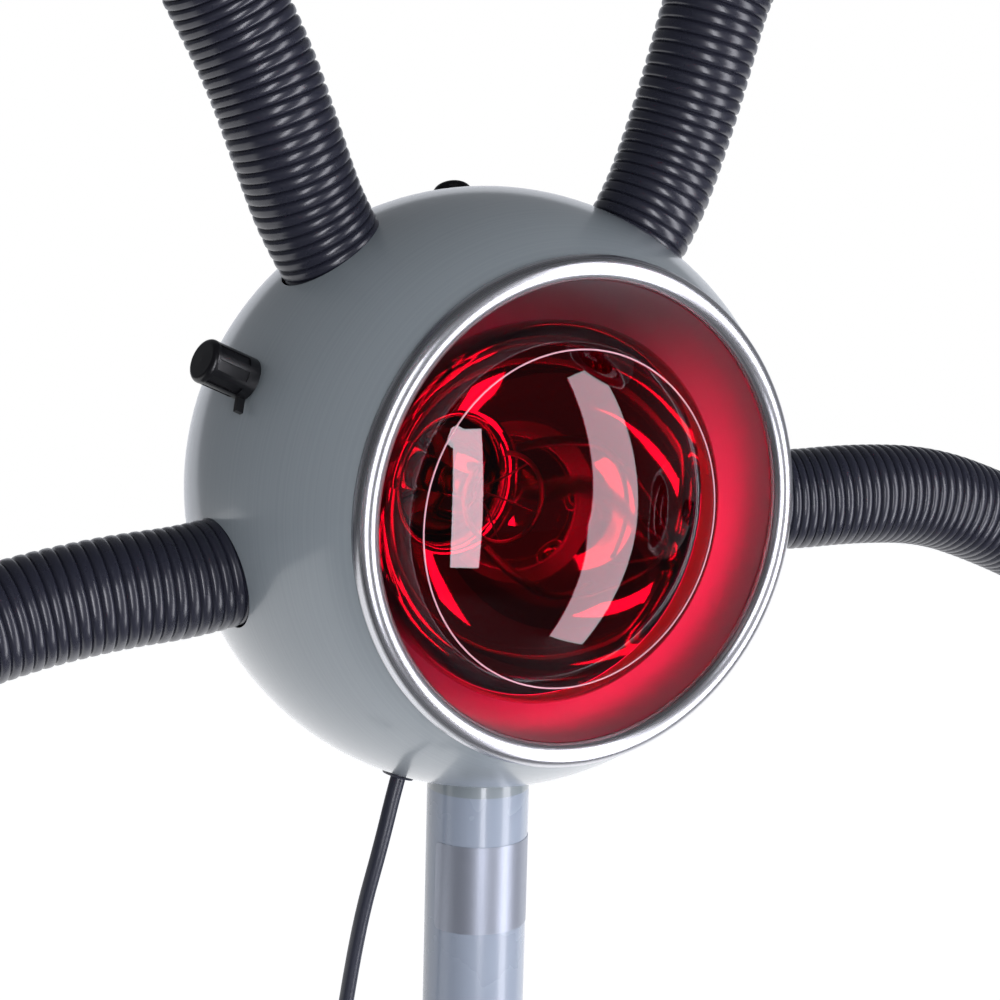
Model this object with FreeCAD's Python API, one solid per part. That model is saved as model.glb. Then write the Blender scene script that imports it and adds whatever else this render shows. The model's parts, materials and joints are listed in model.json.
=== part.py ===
import FreeCAD, Part
import math
import os

# A floor-standing hair colour processor: a middle infrared lamp on a telescopic column, four more
# lamps on flexible arms around it, and a five-legged base on castors.
# Millimetres. Z is up, the lamps face -Y, and the column's axis is the Z axis. The floor is Z = 0.

V = FreeCAD.Vector
UP = V(0, 0, 1)
BACK = V(0, 1, 0)
SLIP = 0.1                       # clearance of a part that turns or slides on another
LOOSE = 0.3                      # clearance between parts that only pass each other

# --- driving dimensions ---------------------------------------------------------------------------
HEAD_HEIGHT = 1250.0             # floor to the centre of the middle lamp, at the resting height

BALL_R = 100.0                   # spun ball shade, outside
SHADE_WALL = 1.0
RIM_R = 80.0                     # rolled rim of the reflector, outside
RIM_WIDTH = 8.0                  # rolled rim, measured along a radius
REFLECTOR_WALL = 0.8
REFLECTOR_END_R = 27.0           # hole that the bulb's neck passes
REFLECTOR_END_Y = 52.0
REAR_HOLE_R = 38.0               # service hole at the back of the ball
REAR_STANDS_OUT = 21.5           # rear cover, behind the ball's outside

BULB_R = 61.5                    # R125 reflector bulb
BULB_FRONT = 70.0                # centre of the ball to the front of the bulb's dome
BULB_NECK = 19.0                 # centre of the ball to where the bulb's bowl runs into its neck
GLASS_WALL = 1.0
CAP_R = 13.4                     # E27 screw cap
CAP_START, CAP_END = 62.5, 88.0
HOLDER_R = 21.0                  # porcelain lampholder
HOLDER_START, HOLDER_END = 60.0, 104.0

HOSE_R = 17.6                    # corrugated sleeve, over the ribs
HOSE_BORE_R = 14.5
GOOSENECK_R = 9.0                # flexible steel core of an arm
HOSE_NUT_R = 22.0
HOSE_NUT_DEPTH = 6.0

KNOB_R = 7.0
KNOB_LENGTH = 18.0
SPINDLE_R = 3.0
BUSH_R = 3.4                     # threaded bush of a control, through the shade
CONTROL_R = 14.0                 # body of a control, inside the shade
CONTROL_DEPTH = 22.0

COLUMN_R = 17.5                  # inner column, outside
COLUMN_WALL = 1.5
BUSH_WALL = 1.85                 # nylon guide between the two columns
OUTER_COLUMN_TOP = 820.0
COLUMN_OVERLAP = 420.0           # inner column inside the outer one, at the resting height
PLUG_COLLAR = 4.5                # visible height of the column's top plug
STUD_R = 10.0                    # hollow threaded stud that clamps the ball to the column

LEG_REACH = 300.0                # column axis to a castor's swivel axis
HUB_R = 40.0
HUB_BOTTOM, HUB_TOP = 66.0, 130.0
LEG_WIDTH = 28.0
LEG_END_WIDTH = 22.0
BOSS_R = 15.0
BOSS_BOTTOM, BOSS_TOP = 70.0, 94.0
LEG_COUNT = 5
BOLT_R = 3.4

WHEEL_R = 25.0
WHEEL_WIDTH = 11.0
CASTOR_TRAIL = 20.0
STEM_R = 5.5
AXLE_R = 4.0

CORD_R = 2.6
COIL_MEAN_R = 28.6               # middle of the coil's turns
COIL_TURNS_WIDE = 4
COIL_TURNS_HIGH = 2

REAR_DEPTH = BALL_R + REAR_STANDS_OUT
PRESSED = 0.05                   # clearance of a part that is fixed in or on another
OUTER_COLUMN_R = COLUMN_R + SLIP + BUSH_WALL + PRESSED + COLUMN_WALL

# Angles of what is fixed to the middle ball, seen from the front: degrees from +X towards +Z, and
# the lean towards the front.
CORD_EXIT = (-108.0, 0.0)
TIMER = (156.8, 7.0)
DIMMER = (79.3, -31.4)

HEAD = V(0, 0, HEAD_HEIGHT)

# Each arm: where it leaves the middle ball, its satellite lamp's centre, and the points that the
# sleeve passes between them, all from the middle of the head.
ARMS = {
    "upper_left": {
        "leaves": (127.3, 0.9),
        "lamp": V(-255, -225, 300),
        "route": [V(-76.5, -4.5, 111.5), V(-85, -3.5, 134), V(-99, -3, 159), V(-117.5, -9.5, 185.5),
                  V(-139, -25.5, 212), V(-163, -54, 236.5), V(-189.5, -94, 259)],
    },
    "upper_right": {
        "leaves": (59.1, 6.1),
        "lamp": V(255, -225, 300),
        "route": [V(63.5, -12.5, 116), V(69, -16.5, 141.5), V(75.5, -19, 170.5), V(89, -25.5, 198),
                  V(110, -38, 223.5), V(140.5, -60, 245.5), V(180.5, -92.5, 264.5)],
    },
    "left": {
        "leaves": (192.8, 1.8),
        "lamp": V(-400, -225, -15),
        "route": [V(-131.5, -1.5, -25.5), V(-161.5, 1.5, -31), V(-193.5, -2, -39),
                  V(-228, -14.5, -43.5), V(-266, -40, -42), V(-307.5, -78.5, -35.5)],
    },
    "right": {
        "leaves": (-3.8, 13.4),
        "lamp": V(400, -225, -55),
        "route": [V(130.5, -34, -4), V(161, -38, -5.5), V(190.5, -39.5, -15), V(221.5, -41, -28),
                  V(254, -51.5, -39), V(286.5, -72.5, -46.5), V(320, -102.5, -51.5)],
    },
}
AIM = V(0, -480, -30)            # what the satellite lamps shine at: the middle of the hair


# --- helpers --------------------------------------------------------------------------------------
def turned(start, *steps):
    """A solid turned about the Z axis. A point is (radius, height); a step is the next point, or
    (point on the arc, end of the arc). The outline closes with a straight line if it is open."""
    edges = []
    here = start
    for step in steps:
        if isinstance(step[0], tuple):
            via, end = step
            arc = Part.Arc(V(here[0], 0, here[1]), V(via[0], 0, via[1]), V(end[0], 0, end[1]))
            edges.append(arc.toShape())
        else:
            end = step
            edges.append(Part.LineSegment(V(here[0], 0, here[1]), V(end[0], 0, end[1])).toShape())
        here = end
    if here != start:
        edges.append(Part.LineSegment(V(here[0], 0, here[1]), V(start[0], 0, start[1])).toShape())
    return Part.Face(Part.Wire(edges)).revolve(V(0, 0, 0), UP, 360)


def lamp_turned(start, *steps):
    """As turned, but about the lamp's axis: heights run along +Y, so the lamp faces -Y."""
    solid = turned(start, *steps)
    solid.rotate(V(0, 0, 0), V(1, 0, 0), -90)
    return solid


def rod(radius, start, end):
    return Part.makeCylinder(radius, (end - start).Length, start, end - start)


def tube(outer, inner, start, end):
    return rod(outer, start, end).cut(rod(inner, start, end))


def on_sphere(radius, r):
    """Depth behind the ball's centre of a point of a sphere, r from the lamp's axis."""
    return math.sqrt(radius ** 2 - r ** 2)


def direction(angle, forward):
    """Unit vector at an angle from +X towards +Z, leaning towards the front."""
    angle, forward = math.radians(angle), math.radians(forward)
    return V(math.cos(angle) * math.cos(forward), -math.sin(forward),
             math.sin(angle) * math.cos(forward))


def unit(vector):
    return vector * (1 / vector.Length)


def hexagon(corner_r, low, high, centre=V(0, 0, 0)):
    """Hexagonal bar along Z between two heights."""
    corners = [centre + V(corner_r * math.cos(math.radians(60 * n)),
                          corner_r * math.sin(math.radians(60 * n)), low) for n in range(7)]
    return Part.Face(Part.makePolygon(corners)).extrude(V(0, 0, high - low))


def stood_on(shape, base, axis, facing):
    """Moves a shape from the origin to base, with its Z along axis and its X near facing."""
    x_axis = unit(facing - axis * facing.dot(axis))
    y_axis = axis.cross(x_axis)
    matrix = FreeCAD.Matrix(
        x_axis.x, y_axis.x, axis.x, base.x,
        x_axis.y, y_axis.y, axis.y, base.y,
        x_axis.z, y_axis.z, axis.z, base.z)
    return placed(shape, matrix)


def placed(shape, matrix):
    copy = shape.copy()
    copy.Placement = FreeCAD.Placement(matrix).multiply(copy.Placement)
    return copy


def moved(shape, offset):
    copy = shape.copy()
    copy.translate(offset)
    return copy


def bent_path(points, name=""):
    """Straight runs joined by tangent arcs, each as large as its two runs allow."""
    edges = []
    radii = []
    here = points[0]
    for before, corner, after in zip(points, points[1:], points[2:]):
        back, on = unit(before - corner), unit(after - corner)
        half_turn = (math.pi - back.getAngle(on)) / 2
        shorter = min((corner - before).Length, (after - corner).Length)
        cut = 0.45 * shorter
        radius = cut / math.tan(half_turn)
        start, end = corner + back * cut, corner + on * cut
        middle = unit(back + on)
        via = corner + middle * (radius / math.cos(half_turn) - radius)
        edges.append(Part.LineSegment(here, start).toShape())
        edges.append(Part.Arc(start, via, end).toShape())
        radii.append(round(radius))
        here = end
    edges.append(Part.LineSegment(here, points[-1]).toShape())
    path = Part.Wire(edges)
    print(f"{name}: length {path.Length:.0f}, bend radii {radii}")
    return path


def swept(radius, points, path):
    """A round rod of this radius along a path."""
    end = Part.Wire(Part.makeCircle(radius, points[0], points[1] - points[0]))
    solid = path.makePipeShell([end], True, True)
    ideal = math.pi * radius ** 2 * path.Length
    print(f"    volume over section times length: {solid.Volume / ideal:.4f}")
    return solid


def write(node, *solids):
    shape = solids[0] if len(solids) == 1 else Part.makeCompound(list(solids))
    shape.exportStep(f"parts/{node}.step")


# --- lamp -----------------------------------------------------------------------------------------
MOUTH_R = RIM_R - 1.0            # the rolled rim hides the ball's edge
MOUTH_Y = -on_sphere(BALL_R, MOUTH_R)
RIM_INNER_R = RIM_R - RIM_WIDTH
RIM_Y = MOUTH_Y - SLIP


def ball_outline(rear_r):
    """The ball's wall, from its mouth to a rear hole of radius rear_r."""
    inner = BALL_R - SHADE_WALL
    mouth_inner_r = math.sqrt(inner ** 2 - MOUTH_Y ** 2)
    return ((MOUTH_R, MOUTH_Y), ((BALL_R, 0), (rear_r, on_sphere(BALL_R, rear_r))),
            (rear_r, on_sphere(inner, rear_r)), ((inner, 0), (mouth_inner_r, MOUTH_Y)))


def vents(ring_r, count=10, hole_r=2.5):
    """Rods that cut a ring of cooling holes in a lamp's back."""
    rods = []
    for n in range(count):
        turn = math.radians(360 * n / count)
        foot = V(ring_r * math.cos(turn), REAR_DEPTH - 12, ring_r * math.sin(turn))
        rods.append(rod(hole_r, foot, foot + BACK * 20))
    return rods


def hose_hole(along):
    """Cuts the hole that a sleeve enters a ball by."""
    return rod(HOSE_R + LOOSE, along * (BALL_R * 0.6), along * (BALL_R * 1.2))


def satellite_shade(along):
    """Ball shade spun in one piece with its rear neck, open at the mouth and at the sleeve's hole."""
    inner = BALL_R - SHADE_WALL
    neck_r = REAR_HOLE_R + 2
    neck_in = neck_r - SHADE_WALL
    back, back_in = REAR_DEPTH, REAR_DEPTH - SHADE_WALL
    mouth_inner_r = math.sqrt(inner ** 2 - MOUTH_Y ** 2)
    wall = lamp_turned(
        (MOUTH_R, MOUTH_Y),
        ((BALL_R, 0), (neck_r, on_sphere(BALL_R, neck_r))),
        (neck_r - 1.5, back - 9),
        ((neck_r - 3.5, back - 4), (neck_r - 10, back - 2)),
        (0, back),
        (0, back_in),
        (neck_in - 9.5, back_in - 2),
        ((neck_in - 3.5, back_in - 4.2), (neck_in - 1.5, back_in - 9)),
        (neck_in, on_sphere(inner, neck_in)),
        ((inner, 0), (mouth_inner_r, MOUTH_Y)))
    for hole in vents(neck_r - 14):
        wall = wall.cut(hole)
    return wall.cut(hose_hole(along))


def reflector():
    """Spun aluminium bowl whose front edge is rolled into the rim that covers the ball's edge."""
    middle_y = (RIM_Y + REFLECTOR_END_Y) / 2 - 10
    middle_r = RIM_INNER_R * 0.92
    wall = REFLECTOR_WALL
    return lamp_turned(
        (RIM_INNER_R, RIM_Y),
        ((RIM_R - RIM_WIDTH / 2, RIM_Y - RIM_WIDTH * 0.58), (RIM_R, RIM_Y)),
        (RIM_INNER_R + wall, RIM_Y),
        ((middle_r + wall * 0.9, middle_y + wall * 0.4),
         (REFLECTOR_END_R + wall * 0.6, REFLECTOR_END_Y + wall * 0.6)),
        (REFLECTOR_END_R, REFLECTOR_END_Y),
        ((middle_r, middle_y), (RIM_INNER_R, RIM_Y)))


def bulb_outline(inset):
    """The bulb's glass from the front of its dome to its neck, all moved inwards by inset."""
    front = -BULB_FRONT
    shoulder_r, shoulder_y = BULB_R - 8, front + 14
    return [
        (0, front + inset),
        ((shoulder_r * 0.52, front + 3.4 + inset), (shoulder_r - 0.3 * inset, shoulder_y + inset)),
        ((BULB_R - 2.3 - 0.8 * inset, shoulder_y + 5 + 0.6 * inset), (BULB_R - inset, front + 27)),
        ((BULB_R - 1.7 - inset, front + 43), (BULB_R - 7.3 - 0.9 * inset, front + 59 - 0.3 * inset)),
        ((BULB_R - 17.1 - 0.9 * inset, BULB_NECK - 15 - 0.6 * inset), (25 - 0.8 * inset, BULB_NECK)),
        ((20.8 - 0.9 * inset, BULB_NECK + 6.5), (19 - inset, BULB_NECK + 16)),
        (18 - inset, CAP_START - 7.5),
        (CAP_R - 1.2 - inset, CAP_START - 2),
        (CAP_R - 1.2 - inset, CAP_START + 7.5),
    ]


def bulb_glass():
    outer, inner = bulb_outline(0), bulb_outline(GLASS_WALL)
    whole = lamp_turned(*outer, (0, outer[-1][1]))
    hollow = lamp_turned(*inner, (0, inner[-1][1]))
    return whole.cut(hollow)


def bulb_cap():
    """Screw cap: a thread of rolled rings, the insulator and the centre contact."""
    steps = []
    pitch = 3.6
    turns = 6
    for n in range(turns):
        low = CAP_START + 1 + n * pitch
        steps.append(((CAP_R + 0.3, low + pitch / 2), (CAP_R - 0.3, low + pitch)))
    inner_r = CAP_R - 1
    return lamp_turned(
        (inner_r, CAP_START), (CAP_R - 0.3, CAP_START), (CAP_R - 0.3, CAP_START + 1), *steps,
        (CAP_R - 2, CAP_END - 1), (5, CAP_END + 3.5), (4.5, CAP_END + 6), (0, CAP_END + 6),
        (0, CAP_END - 4), (inner_r, CAP_END - 4))


def bulb_filament():
    """Glass stem, four support wires and the ring-shaped filament."""
    neck_r = CAP_R - 1.2 - GLASS_WALL - 0.2
    stem_front = BULB_NECK - 17
    stem = lamp_turned((0, stem_front), (4.5, stem_front), (5, 48), (neck_r, CAP_START + 2),
                       (neck_r, CAP_START + 6), (0, CAP_START + 6))
    ring_r, ring_y, wire_r = 15.0, -12.0, 0.6
    mount = stem.fuse(Part.makeTorus(ring_r, 1.0, V(0, ring_y, 0), BACK))
    for turn in (45, 135, 225, 315):
        out = V(math.cos(math.radians(turn)), 0, math.sin(math.radians(turn)))
        foot = out * 3 + BACK * (stem_front + 1)
        mount = mount.fuse(rod(wire_r, foot, out * ring_r + BACK * ring_y))
    return mount


def lampholder(nipple_end=0.0):
    """Porcelain holder with the screw shell's bore; a nipple carries it where one is given."""
    bore = CAP_R + 0.3 + LOOSE
    body = lamp_turned(
        (bore, HOLDER_START), (HOLDER_R - 2, HOLDER_START), (HOLDER_R, HOLDER_START + 2),
        (HOLDER_R, HOLDER_END - 6), (HOLDER_R - 6, HOLDER_END), (0, HOLDER_END),
        (0, CAP_END + 6.2), (bore - 6, CAP_END + 6.2), (bore - 6, CAP_END + 3.7),
        (bore, CAP_END + 1))
    if nipple_end:
        body = body.fuse(rod(5, BACK * (HOLDER_END - 1), BACK * nipple_end))
    return body


# --- what the middle ball holds -------------------------------------------------------------------
def rear_cover():
    """Pressed cover over the service hole, with a flange that follows the ball."""
    seat, top = BALL_R + SLIP, BALL_R + SLIP + SHADE_WALL
    flange_r = REAR_HOLE_R + 12
    inside_r = REAR_HOLE_R + 2
    back, back_in = REAR_DEPTH, REAR_DEPTH - SHADE_WALL
    cover = lamp_turned(
        (flange_r, on_sphere(seat, flange_r)),
        (flange_r, on_sphere(top, flange_r)),
        (inside_r + 2.5, on_sphere(top, inside_r + 2.5)),
        (inside_r + 1, on_sphere(top, inside_r + 2.5) + 4),
        (inside_r - 0.5, back - 9),
        ((inside_r - 2.5, back - 4), (inside_r - 9, back - 2)),
        (0, back),
        (0, back_in),
        (inside_r - 9.5, back_in - 2),
        ((inside_r - 3.5, back_in - 4.2), (inside_r - 1.5, back_in - 9)),
        (inside_r, on_sphere(top, inside_r + 2.5) + 3),
        (inside_r, on_sphere(seat, inside_r)),
        ((flange_r - 5, on_sphere(seat, flange_r - 5)), (flange_r, on_sphere(seat, flange_r))))
    for hole in vents(inside_r - 14):
        cover = cover.cut(hole)
    return cover


def screw_places():
    """Unit vectors from the ball's centre through the three screws of the rear cover."""
    lean = math.asin((REAR_HOLE_R + 8) / BALL_R)
    places = []
    for turn in (90, 210, 330):
        turn = math.radians(turn)
        places.append(V(math.sin(lean) * math.cos(turn), math.cos(lean),
                        math.sin(lean) * math.sin(turn)))
    return places


def cover_screw(along):
    under_head = BALL_R + SHADE_WALL + 2 * SLIP
    head = rod(3, along * under_head, along * (under_head + 2))
    slot = Part.makeBox(1, 7, 2, V(-0.5, -3.5, under_head + 1.2))
    head = head.cut(stood_on(slot, V(0, 0, 0), along, UP + V(0.3, 0, 0)))
    return head.fuse(rod(1.5, along * (BALL_R - 7), along * (under_head + 1)))


def head_housing():
    """Ball shade of the middle lamp, with the holes of all that passes through it."""
    ball = lamp_turned(*ball_outline(REAR_HOLE_R))
    for arm in ARMS.values():
        ball = ball.cut(hose_hole(direction(*arm["leaves"])))
    for place in (TIMER, DIMMER):
        along = direction(*place)
        ball = ball.cut(rod(BUSH_R + SLIP, along * (BALL_R - 5), along * (BALL_R + 5)))
    for along in screw_places():
        ball = ball.cut(rod(1.6, along * (BALL_R - 5), along * (BALL_R + 5)))
    along = direction(*CORD_EXIT)
    ball = ball.cut(rod(GLAND_NECK_R + SLIP, along * (BALL_R - 5), along * (BALL_R + 5)))
    return ball.cut(rod(STUD_R + SLIP, V(0, 0, -BALL_R - 5), V(0, 0, -BALL_R + 15)))


def column_top_plug():
    """Turned plug in the column's top, dished to carry the ball, with a hollow threaded stud."""
    collar_top = -BALL_R
    collar_bottom = -BALL_R + 1.5 - PLUG_COLLAR
    spigot_r = COLUMN_R - COLUMN_WALL - PRESSED
    plug = rod(COLUMN_R, V(0, 0, collar_bottom), V(0, 0, collar_top + 4))
    plug = plug.cut(Part.makeSphere(BALL_R + 0.05))
    plug = plug.fuse(rod(spigot_r, V(0, 0, collar_bottom - 37), V(0, 0, collar_bottom)))
    plug = plug.fuse(rod(STUD_R, V(0, 0, collar_bottom), V(0, 0, -BALL_R + 28)))
    return plug.cut(rod(STUD_R - 3, V(0, 0, collar_bottom - 40), V(0, 0, -BALL_R + 30)))


BRACKET_SHELF = -BALL_R + 22     # top of the shelf inside the ball


def column_bracket():
    """Saddle washer and nut that clamp the ball from inside, with the shelf for the terminals."""
    inside = BALL_R - SHADE_WALL - SLIP
    shelf_wall = 2.0
    nut_corner_r = 17.0
    saddle = Part.makeSphere(inside).cut(Part.makeSphere(inside - 2.5))
    saddle = saddle.common(rod(21, V(0, 0, -BALL_R), V(0, 0, BRACKET_SHELF)))
    nut = hexagon(nut_corner_r, -inside, BRACKET_SHELF - shelf_wall)
    shelf = Part.makeBox(58, 38, shelf_wall, V(-12, -10, BRACKET_SHELF - shelf_wall))
    bracket = saddle.fuse(nut).fuse(shelf).common(Part.makeSphere(inside))
    return bracket.cut(rod(STUD_R + SLIP, V(0, 0, -BALL_R - 5), V(0, 0, BRACKET_SHELF + 5)))


def lampholder_bracket():
    """Ring round the lampholder on a bent steel strap that stands on the shelf."""
    ring_start, ring_end = HOLDER_START + 12, HOLDER_START + 24
    ring_in, ring_out = HOLDER_R + 0.2, HOLDER_R + 2.7
    ring = tube(ring_out, ring_in, BACK * ring_start, BACK * ring_end)
    foot_z = BRACKET_SHELF
    middle_y = (ring_start + ring_end) / 2
    strap = 2.0
    bottom = [(14, foot_z), (27, foot_z), (60, -62), (middle_y + 3, -ring_in - 2.0)]
    top = [(middle_y - 2, -ring_in - 2.0), (57, -58), (26, foot_z + strap), (14, foot_z + strap)]
    side = Part.Face(Part.makePolygon([V(-10, y, z) for y, z in bottom + top + bottom[:1]]))
    strip = side.extrude(V(20, 0, 0)).cut(rod(ring_in, BACK * 0, BACK * 120))
    return ring.fuse(strip)


def control_body(along):
    """Body of a rotary control inside the shade, with its bush and spindle through the wall."""
    # the round body is flat-ended, so it lies under the wall by the height of the ball's curve
    top = on_sphere(BALL_R - SHADE_WALL, CONTROL_R) - LOOSE
    body = rod(CONTROL_R, along * (top - CONTROL_DEPTH), along * top)
    body = body.fuse(rod(BUSH_R, along * top, along * (BALL_R + 5)))
    return body.fuse(rod(SPINDLE_R, along * top, along * (BALL_R + 13)))


def panel_nut(along):
    """Thin hexagonal nut on the bush of a control, hidden in the knob's foot."""
    nut = hexagon(5.6, 0, 2.2).cut(rod(BUSH_R + 0.05, V(0, 0, -1), V(0, 0, 4)))
    return stood_on(nut, along * (BALL_R + 0.4), along, UP)


def control_knob(along, pointer):
    """Moulded knob with recessed panels round its grip and a pointer tab at its foot."""
    recess_r = KNOB_R - 1.1
    low = 0.9
    knob = turned(
        (recess_r, low), (KNOB_R, low), (KNOB_R, KNOB_LENGTH - 2.2),
        ((KNOB_R - 0.5, KNOB_LENGTH - 0.6), (KNOB_R - 2, KNOB_LENGTH - 0.1)),
        (0, KNOB_LENGTH), (0, 14.6), (SPINDLE_R + 0.05, 14.6), (SPINDLE_R + 0.05, 5.8), (recess_r, 5.8))
    panels = 8
    for n in range(panels):
        groove = Part.makeBox(1.6, 3.2, KNOB_LENGTH - 7, V(KNOB_R - 0.7, -1.6, 4.6))
        groove.rotate(V(0, 0, 0), UP, 360 * (n + 0.5) / panels)
        knob = knob.cut(groove)
    tab = Part.makeBox(5.0, 1.6, 2.6, V(KNOB_R - 0.4, -0.8, low + 0.1))
    return stood_on(knob.fuse(tab), along * BALL_R, along, pointer)


# --- mains cord -----------------------------------------------------------------------------------
GLAND_NECK_R = 4.6
GLAND_LENGTH = 22.0              # tapered strain relief, inside the ball


def cord_gland():
    """Rubber strain relief: a low lip outside, a groove for the wall and a taper inside."""
    bore = CORD_R + 0.05
    outside = BALL_R + 0.4
    inside = BALL_R - SHADE_WALL - 0.4
    gland = turned((bore, outside + 0.7), (bore, inside - GLAND_LENGTH), (bore + 1.0, inside - GLAND_LENGTH),
                   (6.0, inside - 2), (6.6, inside - 1.5), (6.6, inside), (GLAND_NECK_R, inside),
                   (GLAND_NECK_R, outside), (5.6, outside), (5.2, outside + 0.7))
    return stood_on(gland, V(0, 0, 0), direction(*CORD_EXIT), BACK)


# The lead's route from the head to the coil: down and back between two legs, in one hanging curve
# that spreads clear of the castors. Its first two points are in the gland's bore.
CORD_ROUTE = [V(-37, 0, 1130.5), V(-41.5, 4.5, 1106), V(-44.5, 9.5, 1074), V(-47.5, 14.5, 1033),
              V(-52, 21, 975), V(-58.5, 29, 905), V(-66.5, 40, 832), V(-77, 52, 758), V(-88, 67, 685),
              V(-101, 84, 612), V(-113, 104, 538), V(-128, 123, 466), V(-142, 144, 396),
              V(-157, 165, 330), V(-171, 186, 268), V(-186, 205, 212), V(-201, 226, 162),
              V(-217, 247, 118), V(-234, 269, 80), V(-251, 293, 48), V(-268, 318, 23),
              V(-286, 343, 8), V(-304, 367, CORD_R), V(-319, 388, CORD_R + 0.05)]
COIL_HEADING = unit(CORD_ROUTE[-1] - CORD_ROUTE[-2])


def coil_width():
    return COIL_TURNS_WIDE * 2 * CORD_R


def coil_places():
    """The coil's centre, the direction to the side of it, the radius of the middle of its outer
    turns and how far before its centre a straight lead meets that turn."""
    outer_turn = COIL_MEAN_R + coil_width() / 2 - CORD_R
    outside = COIL_MEAN_R + coil_width() / 2
    reach = math.sqrt(outside ** 2 - (outer_turn - CORD_R) ** 2)
    side = COIL_HEADING.cross(UP)
    centre = CORD_ROUTE[-1] + COIL_HEADING * (reach + 0.2) + side * outer_turn
    return V(centre.x, centre.y, 0), side, outer_turn, reach


def mains_cord():
    along = direction(*CORD_EXIT)
    points = [HEAD + along * (BALL_R - 25), HEAD + along * BALL_R] + CORD_ROUTE
    return swept(CORD_R, points, bent_path(points, "mains_cord"))


def mains_cord_coil():
    centre = coil_places()[0]
    inner, outer = COIL_MEAN_R - coil_width() / 2, COIL_MEAN_R + coil_width() / 2
    height = COIL_TURNS_HIGH * 2 * CORD_R
    soft = CORD_R * 0.8
    ring = turned((inner + soft, 0), (outer - soft, 0), (outer, soft), (outer, height - soft),
                  (outer - soft, height), (inner + soft, height), (inner, height - soft), (inner, soft))
    length = 2 * math.pi * COIL_MEAN_R * COIL_TURNS_WIDE * COIL_TURNS_HIGH
    print(f"mains_cord_coil: length in its turns {length:.0f}")
    return moved(ring, centre)


def mains_plug():
    """Flat moulded plug with two round pins, lying beside the coil on the floor."""
    centre, side, outer_turn, reach = coil_places()
    ahead = V(COIL_HEADING.x, COIL_HEADING.y, 0)
    thick, wide = 16.0, 36.0
    relief, body, pin = 30.0, 40.0, 19.0
    start = V(centre.x, centre.y, thick / 2) - side * outer_turn + ahead * (reach + 0.8)
    sleeve = turned((CORD_R + 0.05, 0), (CORD_R + 1.0, 0), (6.0, relief), (CORD_R + 0.05, relief))
    sleeve = stood_on(sleeve, start, ahead, UP)
    outline = [V(0, -8, -thick / 2), V(0, 8, -thick / 2), V(22, wide / 2, -thick / 2),
               V(body, wide / 2, -thick / 2), V(body, -wide / 2, -thick / 2),
               V(22, -wide / 2, -thick / 2), V(0, -8, -thick / 2)]
    block = Part.Face(Part.makePolygon(outline)).extrude(V(0, 0, thick))
    block = block.makeFillet(3.0, [e for e in block.Edges if abs(e.tangentAt(0).z) > 0.9])
    for at in (-9.5, 9.5):
        block = block.fuse(rod(2.4, V(body - 5, at, 0), V(body + pin, at, 0)))
    block.rotate(V(0, 0, 0), UP, math.degrees(math.atan2(ahead.y, ahead.x)))
    block.translate(start + ahead * relief)
    return block.fuse(sleeve).cut(rod(CORD_R + 0.05, start - ahead * 5, start + ahead * (relief - 1)))


# --- column and clamp -----------------------------------------------------------------------------
COLUMN_TOP = HEAD_HEIGHT - BALL_R + 1.5 - PLUG_COLLAR
COLLAR_STEP = OUTER_COLUMN_TOP + 3.5
COLLAR_TOP = COLLAR_STEP + 27
COLLAR_R = OUTER_COLUMN_R + 6
CLAMP_Z = (COLLAR_STEP + COLLAR_TOP) / 2


def clamp_collar():
    """Collar pressed over the outer column's top, with a boss for the clamping screw at the back."""
    collar = turned(
        (OUTER_COLUMN_R + PRESSED, OUTER_COLUMN_TOP - 32), (COLLAR_R - 1, OUTER_COLUMN_TOP - 32),
        (COLLAR_R, OUTER_COLUMN_TOP - 31), (COLLAR_R, COLLAR_TOP - 2), (COLLAR_R - 2, COLLAR_TOP),
        (COLUMN_R + LOOSE, COLLAR_TOP), (COLUMN_R + LOOSE, COLLAR_STEP),
        (OUTER_COLUMN_R + PRESSED, COLLAR_STEP))
    centre = V(0, 0, CLAMP_Z)
    boss = rod(9, centre + BACK * (COLUMN_R + 3), centre + BACK * (COLLAR_R + 7))
    collar = collar.fuse(boss)
    return collar.cut(rod(4 + SLIP, centre, centre + BACK * (COLLAR_R + 20)))


def clamp_knob():
    """Lobed hand knob on a screw whose tip bears on the inner column."""
    start, lobe_r, hub_r = COLLAR_R + 7 + LOOSE, 6.0, 17.0
    grip = turned((0, start), (hub_r - 1, start), (hub_r, start + 1), (hub_r, start + 13),
                  (hub_r - 3, start + 16), (0, start + 17))
    for n in range(6):
        turn = math.radians(60 * n)
        notch = rod(lobe_r, V((hub_r + 3) * math.cos(turn), (hub_r + 3) * math.sin(turn), start - 1),
                    V((hub_r + 3) * math.cos(turn), (hub_r + 3) * math.sin(turn), start + 20))
        grip = grip.cut(notch)
    screw = rod(4, V(0, 0, COLUMN_R + LOOSE), V(0, 0, start + 2))
    return stood_on(grip.fuse(screw), V(0, 0, CLAMP_Z), BACK, UP)


def column_bush():
    """Nylon guide in the top of the outer column, with a flange under the collar's step."""
    outer = OUTER_COLUMN_R - COLUMN_WALL - PRESSED
    inner = COLUMN_R + SLIP
    return turned((inner, OUTER_COLUMN_TOP - 60), (outer, OUTER_COLUMN_TOP - 60),
                  (outer, OUTER_COLUMN_TOP + SLIP), (OUTER_COLUMN_R - 0.2, OUTER_COLUMN_TOP + SLIP),
                  (OUTER_COLUMN_R - 0.2, COLLAR_STEP - SLIP), (inner, COLLAR_STEP - SLIP))


# --- base -----------------------------------------------------------------------------------------
LEG_ROOT = HUB_R - 12            # how deep a leg is set into the hub
LEG_ANGLES = [90 + 360 * n / LEG_COUNT for n in range(LEG_COUNT)]


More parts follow.
